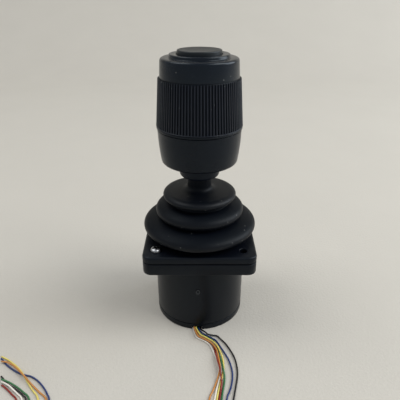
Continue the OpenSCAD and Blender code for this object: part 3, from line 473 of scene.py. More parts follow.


# %% [markdown]
# ## The leads
# Seven thin leads leave the body through a rubber grommet at its foot and lie loosely on
# the table. A lead is flexible, and its length is worked out along its route. Each is a tube
# along the same route as its solid in the construction model, given as places of its middle
# line; where no height is given, the lead lies on the table. Each is cut off square, as from
# the reel, so its tinned strands just show at the end.

# %% Routes of the leads, in millimetres
ON_TABLE = 0.45
ROUTES = {
    "black": [(0.5, -19.6), (0.55, -21.6), (2.42, -24.17, 1.31), (3.82, -25.75, 1.38),
        (6.11, -25.77, 0.65), (8.2, -26), (9.7, -27.8), (12.1, -31.1), (14.4, -36), (15.7, -40.2),
        (16.2, -45.1), (15.9, -49.4), (15, -53.9), (13.6, -60.2), (11.2, -72), (8.5, -82),
        (5.2, -92.5), (-3.3, -101), (-15.2, -106.4), (-29, -108.4), (-42.8, -106.4),
        (-54.4, -100.7), (-62.2, -92.1), (-64.9, -82), (-65.2, -70), (-68.89, -60.7),
        (-70.89, -58.46, 0.46), (-73.56, -56.43), (-76, -54.9), (-78.93, -53.22),
        (-81.61, -51.01), (-83.9, -48.8)],
    "blue": [(-0.37, -19.6), (-0.37, -21.6), (1.38, -24.27), (3.09, -25.45), (5.38, -27.15),
        (7.5, -28.8), (9, -31.6), (11.1, -36.1), (12.8, -40.2), (13.8, -45), (13.9, -49.1),
        (13.2, -53.4), (12.1, -56.8), (10.9, -60.2), (9.2, -72), (6.9, -82), (3.7, -91.9),
        (-4.4, -99.9), (-15.9, -104.9), (-21.9, -106.3, 1.3), (-29, -105, 1.35),
        (-40.5, -100.9, 1.35), (-45.5, -98.6, 1.1), (-49.9, -96.1), (-56.3, -89.7), (-58.5, -82),
        (-57.9, -71), (-58.4, -65.5), (-59.8, -60.3), (-61.4, -57.8), (-63.6, -55), (-67, -51.7),
        (-70.7, -49.3), (-74.11, -48.3), (-77.41, -47.1), (-80.9, -45.1), (-83.9, -42.99),
        (-86.1, -40.89), (-87.9, -39.42)],
    "green": [(-1.23, -19.6), (-1.23, -21.6), (0.45, -24.85), (2.5, -26.3), (4.7, -27.9),
        (6.6, -29.6), (7.8, -32), (8.54, -35.11), (9.08, -39.02, 0.54), (9.8, -43.3, 1.2),
        (10.23, -46.7, 1.36), (10.53, -49.41, 0.74), (10.3, -52.2), (9.6, -55.9), (8.9, -60.2),
        (7.4, -72), (5.3, -82), (2.2, -91.3), (-5.5, -98.7), (-16.5, -103.4), (-29, -106),
        (-42, -104.6), (-53.3, -99.5), (-60.7, -91.5), (-63.3, -82), (-63.4, -70.2),
        (-67.9, -60.1), (-71.56, -56.76), (-74.69, -54.59, 0.5), (-77.78, -53.08, 1.04),
        (-80.58, -51.97, 1.34), (-82.8, -51.1, 1.2)],
    "red": [(-2.09, -19.6), (-2.09, -21.6), (-0.48, -25.75), (1.6, -27.33), (3.7, -28.8),
        (5.52, -30.79), (6.68, -33.52, 0.51), (7.24, -37.62, 1.2), (7.84, -41.71, 1.82),
        (8.49, -45.2, 2.14), (8.8, -48.21, 2.03), (9, -50.8, 1.5), (9.08, -53.31, 1.26),
        (8.64, -56.15, 0.64), (7.86, -60.2), (7.5, -63.5, 0.9), (8, -67, 1.35), (9.7, -72, 1.4),
        (11.3, -77.5, 1.3), (10.3, -83.5), (7.1, -93.3), (-1.4, -102.9), (-14, -109.4),
        (-29, -111.6), (-44, -109.4), (-56.6, -102.9), (-65.1, -93.3), (-68.1, -82), (-69, -69.4),
        (-72.6, -60.8), (-75.9, -57.7), (-78.2, -55.8), (-80.4, -54.2), (-82.1, -53.2)],
    "yellow": [(-1.66, -19.6, 1.2), (-1.66, -21.6, 1.2), (0.18, -25.8, 1.36), (2.1, -27.17, 1.27),
        (4.2, -28.6, 1.2), (6.2, -30.2, 1.2), (7.9, -32.69, 1.35), (9.07, -35.49, 1.18),
        (10.04, -38.38, 0.57), (10.4, -41.6), (10.39, -44.9), (9.77, -48.4), (9, -51.4),
        (8.16, -54.59), (6.96, -60.2), (5.5, -72), (3.7, -82), (0.8, -90.7), (-6.7, -97.6),
        (-17.1, -102), (-29, -104.4), (-41.4, -103.2), (-52.1, -98.4), (-59.2, -90.9),
        (-61.7, -82), (-61.2, -70.6), (-64.3, -60.2), (-68.26, -55.62), (-71.34, -52.22, 0.75),
        (-73.99, -49.19, 1.26), (-76.89, -46.1, 1.13), (-80.2, -43.2, 0.6), (-84.4, -40.29),
        (-88.4, -38.19)],
    "white": [(-2.95, -19.6), (-2.95, -21.6), (-1.42, -26.62), (0.77, -28.22), (2.98, -29.72),
        (4.7, -31.6), (5.87, -34.49), (7.08, -38.1), (8.3, -41.31), (9.2, -44.31), (9.2, -46.6),
        (8.62, -49.3), (7.9, -52.11), (6.98, -55.57), (6.04, -60.19), (3.6, -72), (2.1, -82),
        (1.5, -86, 1.1), (-0.2, -91.1, 1.35), (-3.6, -100.3, 1.35), (-8, -105.2, 1.1),
        (-14.6, -107.9), (-29, -110), (-43.4, -107.9), (-55.5, -101.8), (-63.7, -92.7),
        (-66.5, -82), (-67.1, -69.8), (-70.63, -60.46), (-73.4, -57.74), (-75.62, -56.14, 0.91),
        (-77.8, -54.6, 1.25), (-80.21, -53.13, 1.08), (-82.7, -51.71, 0.5)],
    "orange": [(-2.52, -19.6, 1.2), (-2.52, -21.6, 1.2), (-0.86, -26.5, 1.34),
        (1.13, -28.08, 1.28), (3.32, -29.39, 1.25), (5.18, -31.01, 1.27), (6.72, -33.19, 1.4),
        (7.77, -35.78, 1.42), (8.29, -38.79, 1.29), (8.62, -41.89, 1.33), (8.81, -44.7, 1.27),
        (8.5, -47.2, 1.22), (7.68, -50.1, 0.91), (6.59, -53.2), (5.3, -56.6), (3.9, -60.2),
        (1.9, -72), (0.3, -82), (-1.7, -89.7), (-8.1, -96.1), (-17.7, -100.5), (-29, -102.8),
        (-40.8, -101.7), (-51, -97.3), (-57.7, -90.3), (-60.1, -82), (-59.4, -71), (-59.9, -65.4),
        (-61.1, -60.1), (-65.1, -56.7), (-69.04, -53.58, 0.84), (-71.78, -51.48, 1.85),
        (-74.2, -49.4, 2.11), (-77, -47, 2), (-80.6, -44.1, 1.5), (-83.6, -42.4, 1.28),
        (-85.5, -42.01, 1.32), (-86.9, -41.6, 0.9)],
}
print("places given for the seven leads:", sum(len(route) for route in ROUTES.values()))


# %% From a route to a closed tube
def smooth_route(points, cuts):
    """A smooth curve through all points of a route."""
    route = [Vector(p if len(p) == 3 else (*p, ON_TABLE)) for p in points]
    curve = []
    for i in range(len(route) - 1):
        a = route[max(i - 1, 0)]
        b, c = route[i], route[i + 1]
        d = route[min(i + 2, len(route) - 1)]
        for k in range(cuts):
            t = k / cuts
            curve.append(0.5 * (2 * b + (c - a) * t + (2 * a - 5 * b + 4 * c - d) * t * t
                + (3 * b - 3 * c + d - a) * t ** 3))
    return curve + [route[-1]]


def tube(work, path, radii, sides, colours):
    """A closed tube with a radius and a colour for each point; returns its length."""
    across = Vector((0.0, 0.0, 1.0))
    rings = []
    for i, spot in enumerate(path):
        along = path[min(i + 1, len(path) - 1)] - path[max(i - 1, 0)]
        along.normalize()
        across = (across - along * across.dot(along)).normalized()
        side = along.cross(across)
        spread = [2 * math.pi * (k + 0.5) / sides for k in range(sides)]
        rings.append([work.verts.new((spot + radii[i] * (math.cos(a) * across
            + math.sin(a) * side)) * MM) for a in spread])
    loft(work, rings, colours)
    for end in (0, -1):
        work.faces.new(rings[end]).material_index = colours[end]
    return sum((b - a).length for a, b in zip(path, path[1:]))


# %% Lead finish
def lead_skin(name, colour, rough=0.34):
    """Coloured PVC insulation: soft gloss, a few handling marks."""
    finish = Finish(name)
    cloud = finish.noise(4.0, 2.0)
    scuff = finish.noise(0.4, 3.0)
    finish.set("Base Color", finish.blend(cloud, shade(colour, 0.88), shade(colour, 1.08)))
    finish.set("Roughness", scuff * 0.18 + (rough - 0.06))
    finish.relief(scuff, 0.008)
    return finish.material


LEAD_COLOURS = {
    "black": (0.002, 0.002, 0.003), "blue": (0.006, 0.029, 0.15),
    "green": (0.030, 0.160, 0.055), "red": (0.24, 0.015, 0.006),
    "yellow": (0.78, 0.66, 0.17), "white": (0.85, 0.81, 0.74),
    "orange": (0.56, 0.24, 0.055),
}
TINNED = metal("tinned_copper", (0.62, 0.60, 0.57), 0.34, 0.15, 0.010)
LEAD_RADIUS = 0.35
WIRE_RADIUS = 0.22
STRIPPED = 0.3
LEAD_SIDES = 14

# %% Make the seven leads
for colour, points in ROUTES.items():
    path = smooth_route(points, 5)
    while (path[-1] - path[-2]).length < 0.01:
        path.pop()
    gone = 0.0
    bare_from = len(path) - 1
    while gone < STRIPPED:
        gone += (path[bare_from] - path[bare_from - 1]).length
        bare_from -= 1
    step_out = (path[bare_from + 1] - path[bare_from]).normalized() * 0.02
    path.insert(bare_from + 1, path[bare_from] + step_out)
    bare = [int(i > bare_from) for i in range(len(path))]
    radii = [WIRE_RADIUS if tinned else LEAD_RADIUS for tinned in bare]
    radii[-1] = WIRE_RADIUS * 0.7
    work = bmesh.new()
    length = tube(work, path, radii, LEAD_SIDES, bare)
    lead = piece_from("lead_" + colour + "_wire", work, 60.0)
    lead.data.materials.append(lead_skin("lead_" + colour, LEAD_COLOURS[colour]))
    lead.data.materials.append(TINNED)
    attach(lead, "housing")
    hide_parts("lead_" + colour)
    tuple(path[0] * MM)
    length * MM
    [tuple(p * MM) for p in path]
    print("lead", colour, "length in mm:", round(length, 1))


# %% [markdown]
# ## Body, end cap and flange
# The body is one moulding: a round tube with a square plate at its top. An end cap closes
# it below, with a fine seam between the two, and a second plate, the bezel, is screwed on
# top of the first and clamps the boot's foot. The plates are rounded squares with eased
# edges; their holes are cut with turned tools that flare at the mouth, so that each hole
# gets the small bevel of a real one.

# %% Plates
def plate_outline(side, corner, shrink, cuts=10):
    """A rounded square, drawn in a little by `shrink`."""
    half = side / 2 - corner
    spots = []
    for quarter, (sx, sy) in enumerate(((1, 1), (-1, 1), (-1, -1), (1, -1))):
        for k in range(cuts + 1):
            a = math.radians(90 * (quarter + k / cuts))
            spots.append((sx * half + (corner - shrink) * math.cos(a),
                sy * half + (corner - shrink) * math.sin(a)))
    return spots


def plate(name, side, corner, low, high, ease_low, ease_high, cuts=4, seam=0.0):
    """A square plate with quarter-round edges; its foot is set back over the height of a seam."""
    quarter = [(1 - math.sin(a), 1 - math.cos(a)) for a in angles(0, 90, cuts)]
    layers = [(low + seam + ease_low * up, ease_low * aside) for up, aside in quarter]
    if seam:
        layers += [(low + seam, SEAM_DEPTH), (low, SEAM_DEPTH)]
    layers.reverse()
    layers += [(high - ease_high * down, ease_high * aside) for down, aside in quarter]
    work = bmesh.new()
    rings = [[work.verts.new((x * MM, y * MM, z * MM))
        for x, y in plate_outline(side, corner, shrink)] for z, shrink in layers]
    loft(work, rings)
    work.faces.new(reversed(rings[0]))
    work.faces.new(rings[-1])
    return piece_from(name, work)


def drill(radius, low, high, flare, at=(0.0, 0.0), steps=64):
    """A tool for a hole whose two mouths open by `flare`."""
    over = 0.6
    outline = [(0.0, low - over), (radius + flare + over, low - over), (radius + flare, low),
        (radius, low + flare), (radius, high - flare), (radius + flare, high),
        (radius + flare + over, high + over), (0.0, high + over)]
    return turned("drill", outline, steps, at)


# %% Sizes of the flange and body
FLANGE_CORNER = 4.0
SEAM = 0.45
SEAM_DEPTH = 1.2
HOLE_AT = 19.2
HOLE_RADIUS = 1.7
SCREW_RADIUS = 1.25
FLANGE_LOW = frame["record"]["mounts"][1]["pos_m"][2] / MM
UPPER_BORE = 18.0
LOWER_BORE = 19.3
SHOULDER = low_high("gate_plate")[1].z
BOOT_WALL = UPPER_BORE + 2.4
BOOT_SEAT = low_high("boot")[0].z
PIVOT = frame["joints"][0]["pos_m"][2] / MM

flange_side = low_high("housing")[1].x * 2
body_foot = low_high("housing")[0].z
flange_top = low_high("housing")[1].z
bezel_top = low_high("bezel_plate")[1].z
body_radius = low_high("end_cap")[1].x
open_corners = [(HOLE_AT, -HOLE_AT), (-HOLE_AT, HOLE_AT)]
screw_corners = [(-HOLE_AT, -HOLE_AT), (HOLE_AT, HOLE_AT)]
print("flange from", FLANGE_LOW, "to", flange_top, "bezel to", bezel_top)

# %% Body with its lower plate
BOSS = 4.05
AXLE_HOLE = 2.6


def sideways(radius, near, far, side, steps):
    """A rod along the x axis at the pivot's height, on one side."""
    return moved(rod("lying", radius, near, far, steps),
        lambda x, y, z: (side * z, y, x + PIVOT * MM))


body = turned("body_shell", eased([(LOWER_BORE, body_foot, 0.2), (body_radius, body_foot, 0.25),
    (body_radius, flange_top - 0.6, 0), (UPPER_BORE, flange_top - 0.6, 0),
    (UPPER_BORE, SHOULDER, 0.2), (LOWER_BORE, SHOULDER, 0)]), 192)
lower_plate = plate("lower_plate", flange_side, FLANGE_CORNER, FLANGE_LOW, flange_top, 0.35, 0.3)
combined(lower_plate, [drill(UPPER_BORE, FLANGE_LOW - 1, flange_top + 1, 0.0, steps=192)])
combined(body, [lower_plate], "UNION")
combined(body, [sideways(BOSS, 16.8, body_radius - 0.4, side, 64) for side in (-1, 1)], "UNION")


# %% Dimple, seats and holes of the body
def on_the_front(piece):
    """Lays a turned piece on the front of the body, a little taller than wide."""
    return moved(piece, lambda x, y, z: (x + DIMPLE[0] * MM, z - body_radius * MM,
        1.4 * y + DIMPLE[2] * MM))


combined(body, [on_the_front(turned("rim", arc((1.0, 0.0), 0.24, 0.22, 0, 330, 11), 48))], "UNION")
tools = [rod("foot_seat", 21.85, BOOT_SEAT, flange_top + 1, 128), on_the_front(turned("dimple",
    [(0.0, 0.8), (0.6, 0.8), (0.82, 0.2), (0.82, -0.5), (0.0, -0.5)], 48))]
tools += [drill(HOLE_RADIUS, FLANGE_LOW, flange_top, 0.25, at) for at in open_corners]
pilot_low = low_high("clamp_screws")[0].z - 0.4
tools += [rod("pilot", 1.3, pilot_low, flange_top + 1, 32, at) for at in screw_corners]
tools += [sideways(AXLE_HOLE, 15.8, 20.2, side, 48) for side in (-1, 1)]
combined(body, tools)
dress(body, BODY_BLACK, "housing", "housing", "housing")

# %% Bezel plate
bezel = plate("bezel", flange_side, FLANGE_CORNER, flange_top, bezel_top, 0.25, 0.95, 6, SEAM)
tools = [drill(BOOT_WALL + 0.05, flange_top, bezel_top, 0.3, steps=160)]
tools += [drill(HOLE_RADIUS, flange_top, bezel_top, 0.12, at) for at in open_corners]
tools += [drill(SCREW_RADIUS + 0.2, flange_top, bezel_top, 0.15, at) for at in screw_corners]
combined(bezel, tools)
dress(bezel, BEZEL_BLACK, "bezel", "housing", "bezel_plate")

# %% End cap and grommet
def block(name, low, high, ease=0.0):
    """A box with eased edges, between two corners."""
    work = bmesh.new()
    bmesh.ops.create_cube(work, size=1.0)
    for spot in work.verts:
        spot.co = Vector([(low[i] + high[i]) / 2 + spot.co[i] * (high[i] - low[i])
            for i in range(3)]) * MM
    if ease:
        bmesh.ops.bevel(work, geom=work.edges[:], offset=ease * MM, segments=3, profile=0.5,
            affect="EDGES")
    return piece_from(name, work)


CAP_FLOOR = 3.0
cap_high = low_high("end_cap")[1].z
insert = body_radius - 2.1
end_cap = turned("base_cap", eased([(0.0, 0.0, 0), (body_radius, 0.0, 0.5),
    (body_radius, CAP_FLOOR, 0.25), (insert, CAP_FLOOR, 0), (insert, cap_high, 0.2),
    (insert - 1.8, cap_high, 0.2), (insert - 1.8, CAP_FLOOR, 0.3), (0.0, CAP_FLOOR, 0)]), 192)
grommet_low, grommet_high = low_high("lead_grommet")
combined(end_cap, [block("notch", (grommet_low.x - 0.05, -body_radius - 1, -1),
    (grommet_high.x + 0.05, grommet_high.y + 0.05, grommet_high.z + 0.05))])
dress(end_cap, BODY_BLACK, "housing", "housing", "end_cap")
grommet = block("grommet", grommet_low, grommet_high, 0.35)
dress(grommet, GROMMET_BLACK, "grommet_rubber", "housing", "lead_grommet")


# %% [markdown]
# ## The clamp screws
# Two pan-head screws with a cross recess clamp the bezel; the other two corner holes stay
# open for the panel's own screws. A repeated part is modelled once and placed by Geometry
# Nodes: points at the corners, one instance on each, and a different turn for each
# because no two screws stop at the same angle.

# %% One screw
HEAD_RADIUS = 2.25
HEAD_WALL = 0.62
ARM = (1.45, 0.38)
RECESS_DEPTH = 1.1
head_low = bezel_top
head_high = low_high("clamp_screws")[1].z
screw_low = low_high("clamp_screws")[0].z
dome_foot = head_low + HEAD_WALL
dome = [(HEAD_RADIUS * math.cos(math.radians(a)) ** 0.6, dome_foot
    + (head_high - dome_foot) * math.sin(math.radians(a))) for a in range(0, 90, 9)]
screw = turned("screw_source", [(0.0, screw_low), (0.8, screw_low), (SCREW_RADIUS, screw_low + 0.6),
    (SCREW_RADIUS, head_low), (HEAD_RADIUS - 0.1, head_low), (HEAD_RADIUS, head_low + 0.12)] + dome
    + [(0.0, head_high)], 56)
print("screw from", round(screw_low, 1), "to", round(head_high, 1))
combined(screw, [block("arm", (-x, -y, head_high - RECESS_DEPTH), (x, y, head_high + 1), 0.05)
    for x, y in (ARM, ARM[::-1])])
# Faces in the cross recess are marked, so the plating can paint shade in them.
in_recess = screw.data.attributes.new("recess", "FLOAT", "FACE")
for face in screw.data.polygons:
    across = sorted(abs(v) / MM for v in face.center[:2])
    in_recess.data[face.index].value = float(across[0] < ARM[1] + 0.02
        and across[1] < ARM[0] + 0.02 and face.center.z > (head_high - RECESS_DEPTH - 0.1) * MM)


def screw_finish():
    """Plated steel; the cross recess is painted near black as painted shade, and is rougher."""
    finish = Finish("screw_plating", Metallic=1.0)
    streak = finish.noise(0.35, 3.0)
    stain = finish.noise(3.0, 3.0)
    recess = finish.add("ShaderNodeAttribute", {"attribute_name": "recess"}, out="Fac")
    plating = finish.blend(stain, (0.40, 0.41, 0.43), (0.52, 0.53, 0.55))
    # Near black in the recess: painted shade.
    finish.set("Base Color", finish.blend(recess, plating, (0.020, 0.020, 0.022)))
    finish.set("Roughness", streak * 0.16 + stain * 0.10 + recess * 0.3 + 0.17)
    finish.relief(streak, 0.010)
    return finish.material


PLATING = screw_finish()


# %% Geometry Nodes helper
class Grower(Nodes):
    """A Geometry Nodes tree with named inputs for its sizes."""

    def __init__(self, name, **sizes):
        super().__init__(bpy.data.node_groups.new(name, "GeometryNodeTree"))
        self.values = {}
        face = self.tree.interface
        face.new_socket("Geometry", in_out="INPUT", socket_type="NodeSocketGeometry")
        face.new_socket("Geometry", in_out="OUTPUT", socket_type="NodeSocketGeometry")
        for label, (kind, value) in sizes.items():
            entry = face.new_socket(label, in_out="INPUT", socket_type="NodeSocket" + kind)
            self.values[entry.identifier] = value
        self.start = self.tree.nodes.new("NodeGroupInput")
        self.end = self.tree.nodes.new("NodeGroupOutput")

    def input(self, label):
        return Wire(self, self.start.outputs[label])

    def placed(self, count, instance, turn, spot=(0.0, 0.0, 0.0)):
        """Copies at a number of points, each turned about the vertical axis."""
        points = self.add("GeometryNodePoints", None, {"Count": count, "Position": spot})
        return self.add("GeometryNodeInstanceOnPoints", None, {"Points": points,
            "Instance": instance, "Rotation": self.add("ShaderNodeCombineXYZ", None, {"Z": turn})})

    def run(self, geometry, material, piece, sharp):
        """Ends the tree, runs it on a piece and leaves the piece a plain mesh."""
        whole = self.add("GeometryNodeRealizeInstances", None, {"Geometry": geometry})
        whole = self.add("GeometryNodeSetMaterial", None, {"Geometry": whole, "Material": material})
        self.plug(self.end.inputs[0], whole)
        step = piece.modifiers.new("tree", "NODES")
        step.node_group = self.tree
        for identifier, value in self.values.items():
            step[identifier] = value
        plain(piece, sharp)


# %% Place the screws
by_corner = Grower("corner_screws", Source=("Object", screw), Reach=("Float", HOLE_AT * MM),
    Turn=("Float", 0.9))
index = by_corner.add("GeometryNodeInputIndex")
reach = (index * 2.0 - 1.0) * by_corner.input("Reach")
spot = by_corner.add("ShaderNodeCombineXYZ", None, {"X": reach, "Y": reach})
source = by_corner.add("GeometryNodeObjectInfo", None, {"Object": by_corner.input("Source")},
    out="Geometry")
screws = added("corner_screws", bpy.data.meshes.new("corner_screws"))
by_corner.run(by_corner.placed(2, source, index * by_corner.input("Turn") + 0.35, spot), PLATING,
    screws, 32.0)
bpy.data.objects.remove(screw)
dress(screws, PLATING, "steel", "housing", "clamp_screws")


# %% [markdown]
# ## The bellows boot
# The boot keeps dust out and still lets the stick tilt, so it is a thin rubber skin folded
# into three rings, each hanging over the one below like the eaves of a pagoda. Its section
# is a line along the middle of the rubber: a flat dome, a tight turn under the rim, a
# groove that runs back in, and the next dome. The line gets the rubber's thickness and is
# turned. It is made in two pieces that meet in the upper groove.

# %% Section of the boot
RUBBER = 1.0
FOLDS = ((16.6, 62.9, 3.2, 1.95), (20.2, 55.6, 8.0, 4.1), (26.1, 48.3, 9.4, 4.3))
TUCKS = ((0.85, -120), (1.3, -120), (1.4, -95))
DOME_STARTS = (88, 76, 82)
NECK_RADIUS = 5.4
NECK_TOP = low_high("boot")[1].z


def curve_between(p0, p1, p2, p3, cuts):
    """Points inside a cubic curve."""
    found = []
    for k in range(1, cuts):
        t = k / cuts
        weights = ((1 - t) ** 3, 3 * (1 - t) ** 2 * t, 3 * (1 - t) * t * t, t ** 3)
        found.append(tuple(sum(w * p[i] for w, p in zip(weights, (p0, p1, p2, p3)))
            for i in range(2)))
    return found


def fold_line(fold):
    """The dome and the tuck of one fold, along the middle of the rubber."""
    rim, height, a, b = FOLDS[fold]
    a, b = a - RUBBER / 2, b - RUBBER / 2
    rim -= RUBBER / 2
    tuck, stop = TUCKS[fold]
    over = arc((rim - a, height), a, b, DOME_STARTS[fold], 4, 22)
    under = arc((rim - tuck, height), tuck, tuck, 0, stop, 10)
    return over + under


def groove(start, end):
    """The line that runs back in under a rim and out again on to the next dome."""
    return curve_between(start, (start[0] - 1.5, start[1] + 0.7), (end[0] - 1.5, end[1] + 0.25),
        end, 12)


def skin(line, thickness):
    """Both faces of a skin whose middle is the line, as one closed outline."""
    outer, inner = [], []
    for i, (r, z) in enumerate(line):
        before = Vector(line[max(i - 1, 0)])
        after = Vector(line[min(i + 1, len(line) - 1)])
        along = (after - before).normalized()
        step = Vector((along.y, -along.x)) * thickness / 2
        outer.append((r - step.x, z - step.y))
        inner.append((r + step.x, z + step.y))
    return outer + inner[::-1]


folds = [fold_line(i) for i in range(3)]
neck = NECK_RADIUS - RUBBER / 2
shoulder = folds[0][0][1]
neck_foot = [(neck, shoulder + 3.2), (neck + 4.0, shoulder + 0.25)]
neck_line = [(neck, NECK_TOP), (neck, NECK_TOP - 1.6), neck_foot[0]]
neck_line += curve_between(neck_foot[0], (neck, shoulder + 1.4), (neck + 1.4, shoulder + 0.4),
    neck_foot[1], 12) + [neck_foot[1]]
upper_line = neck_line + folds[0] + groove(folds[0][-1], folds[1][0]) + [folds[1][0]]
knee = (BOOT_WALL - RUBBER / 2, bezel_top + 0.4)
lower_line = folds[1] + groove(folds[1][-1], folds[2][0]) + folds[2]
lower_line += curve_between(folds[2][-1], (folds[2][-1][0] - 1.6, folds[2][-1][1]),
    (knee[0], knee[1] + 1.2), knee, 8)
lower_line += [knee, (knee[0], BOOT_SEAT + 0.6)]
split = folds[1][0][1]
print("the boot's two pieces meet at a height of", round(split, 1))

# %% A rubber whose rims are wiped and whose grooves stay dull
def boot_rubber(name):
    finish = Finish(name, Specular_IOR_Level=0.10, Specular_Tint=COOL, Coat_Roughness=0.42)
    height = finish.add("ShaderNodeSeparateXYZ", None, {"Vector": finish.place()}, out="Z")
    pitch = (FOLDS[0][1] - FOLDS[2][1]) / 2
    turns = finish.sum("FRACT", (height * (1 / MM) - (FOLDS[2][1] - 1.6)) * (1 / pitch))
    wiped = finish.rise(turns, 0.58, 0.32, 0.04, 1.0, "SMOOTHSTEP")
    wiped = finish.sum("MAXIMUM", wiped, finish.rise(height, 61.0 * MM, 62.0 * MM, 0.0, 0.85))
    wiped = wiped * finish.rise(height, 65.0 * MM, 68.0 * MM, 1.0, 0.15)
    cloud = finish.noise(9.0, 3.0)
    speck = finish.noise(0.22, 2.0)
    base = finish.blend(cloud, (0.0011, 0.0019, 0.0040), (0.0017, 0.0029, 0.0058))
    finish.set("Base Color", finish.dusted(base, 0.4))
    finish.set("Coat Weight", wiped * (cloud * 0.12 + 0.21))
    finish.set("Roughness", cloud * 0.12 + speck * 0.06 + 0.42)
    finish.relief(speck, 0.012)
    return finish.material


BOOT_BLACK = boot_rubber("boot_rubber")
print("finishes so far:", len(bpy.data.materials))

# %% Turn the boot's two pieces
boot_upper = turned("boot_upper", skin(upper_line, RUBBER), 160)
boot_lower = turned("boot_lower", skin(lower_line, RUBBER), 160)
foot_in, foot_out, foot_top = UPPER_BORE + 0.1, 21.7, BOOT_SEAT + 1.15
foot = turned("boot_foot", eased([(foot_in, BOOT_SEAT, 0.1), (foot_out, BOOT_SEAT, 0.2),
    (foot_out, foot_top, 0.2), (foot_in, foot_top, 0.2)]), 160)
combined(boot_lower, [foot], "UNION")
for boot in (boot_upper, boot_lower):
    smooth(boot.data, 50.0)
    dress(boot, BOOT_BLACK, "boot_rubber", None, "boot")
split * MM
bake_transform(boot_upper)
split * MM
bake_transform(boot_lower)


# %% [markdown]
# ## Collar and knob
# The stick ends in a collar that the knob turns on. The knob is a hollow shell with a
# smooth lower part, a ribbed rubber sleeve round its middle and a cap with a raised ring
# round the push button. The seams between them are real gaps a tenth of a millimetre wide,
# and each lip is eased, because a seam reads as a dark line beside a thin light one.

# %% Collar
collar_low, collar_high = low_high("collar")
COLLAR_RADIUS = collar_high.x
SPIGOT = 5.4
SHAFT_FIT = 3.55
washer_low = low_high("thrust_washer")[0].z
clip = low_high("retaining_ring")
collar = turned("stick_collar", eased([(SHAFT_FIT, collar_low.z, 0.2),
    (COLLAR_RADIUS, collar_low.z, 1.9), (COLLAR_RADIUS, washer_low, 0.35),
    (SPIGOT, washer_low, 0), (SPIGOT, clip[0].z - 0.05, 0), (SPIGOT - 0.5, clip[0].z - 0.05, 0),
    (SPIGOT - 0.5, clip[1].z + 0.05, 0), (SPIGOT, clip[1].z + 0.05, 0),
    (SPIGOT, collar_high.z, 0.3), (SHAFT_FIT, collar_high.z, 0.2)], 9), 128)
screw_box = low_high("set_screw")
set_height = (screw_box[0].z + screw_box[1].z) / 2
combined(collar, [moved(turned("hole", [(0.0, 2.8), (1.5, 2.8), (1.5, 8.6), (1.9, 9.4),
    (0.0, 9.4)], 48), lambda x, y, z: (x, z, set_height * MM - y))])
dress(collar, COLLAR_BLACK, "collar_plastic", "stick", "collar")

# %% Knob shell
shell_low, shell_high = low_high("knob_base")
sleeve_low, sleeve_high = low_high("grip_sleeve")
KNOB_FOOT = 16.7
KNOB_WIDE = sleeve_high.x
KNOB_BORE = 14.2
MAGNET_BORE = 11.6
TUBE = 15.4
LIP_IN = 0.08
POST_AT = 10.5
shell_top = sleeve_low.z - 0.1
floor_top = shell_low.z + 2.6
plate_low = low_high("switch_plate")[0].z
magnet_low = low_high("twist_magnet")[0].z
foot_corner = arc((KNOB_FOOT - 1.5, shell_low.z + 1.5), 1.5, 1.5, -90, -8, 10)
lip_foot = (KNOB_WIDE - 0.5, shell_top - 2.5)
side_line = []
for k in range(1, 12):
    t = k / 12
    side_line.append((foot_corner[-1][0] * (1 - t) + lip_foot[0] * t + 0.88 * t * (1 - t),
        foot_corner[-1][1] * (1 - t) + lip_foot[1] * t))
lip = eased([(*lip_foot, 0), (KNOB_WIDE - 0.37, shell_top - 1.3, 0.15),
    (KNOB_WIDE - 0.8, shell_top - 1.2, 0.08), (KNOB_WIDE - 0.8, shell_top - 0.95, 0.08),
    (KNOB_WIDE - LIP_IN, shell_top - 0.85, 0.2), (KNOB_WIDE - LIP_IN, shell_top, 0.3),
    (TUBE, shell_top, 0)])[:-1]
inside = [(TUBE, shell_top), (TUBE, shell_high.z), (KNOB_BORE, shell_high.z),
    (KNOB_BORE, plate_low), (KNOB_BORE - 1, plate_low), (KNOB_BORE - 1, plate_low - 1.4),
    (KNOB_BORE, plate_low - 2.4), (KNOB_BORE, magnet_low), (MAGNET_BORE, magnet_low),
    (MAGNET_BORE, magnet_low - 1.4), (KNOB_BORE, magnet_low - 2.9), (KNOB_BORE, floor_top),
    (SPIGOT + 0.05, floor_top)]
shell = turned("knob_shell", [(SPIGOT + 0.05, shell_low.z)] + foot_corner + side_line + lip
    + inside, 192)
combined(shell, [rod("post", 1.1, floor_top - 0.3, floor_top + 3.5, 32, (POST_AT, 0.0))], "UNION")
dress(shell, KNOB_BLACK, "knob_shell", "knob", "knob_base")

# %% Cap
CAP_FOOT = 16.33
CAP_HEAD = 15.9
RING = 12.2
BUTTON = 9.0
cap_low, cap_high = low_high("top_cap")
flat = cap_high.z - 1.3
ledge = flat - 2.6
sleeve_top = sleeve_high.z
top_cap = turned("knob_cap", eased([(KNOB_BORE - 0.05, cap_low.z, 0.2),
    (KNOB_BORE - 0.05, sleeve_top, 0), (CAP_FOOT, sleeve_top, 0.2), (CAP_HEAD, flat - 0.1, 1.25),
    (RING + 0.3, flat, 0.3), (RING, cap_high.z, 0.45), (BUTTON + 0.3, cap_high.z, 0.45),
    (BUTTON + 0.3, ledge, 0), (KNOB_BORE - 1.2, ledge, 0.4), (KNOB_BORE - 1.2, cap_low.z, 0)],
    9), 192)
dress(top_cap, CAP_BLACK, "knob_shell", "knob", "top_cap")

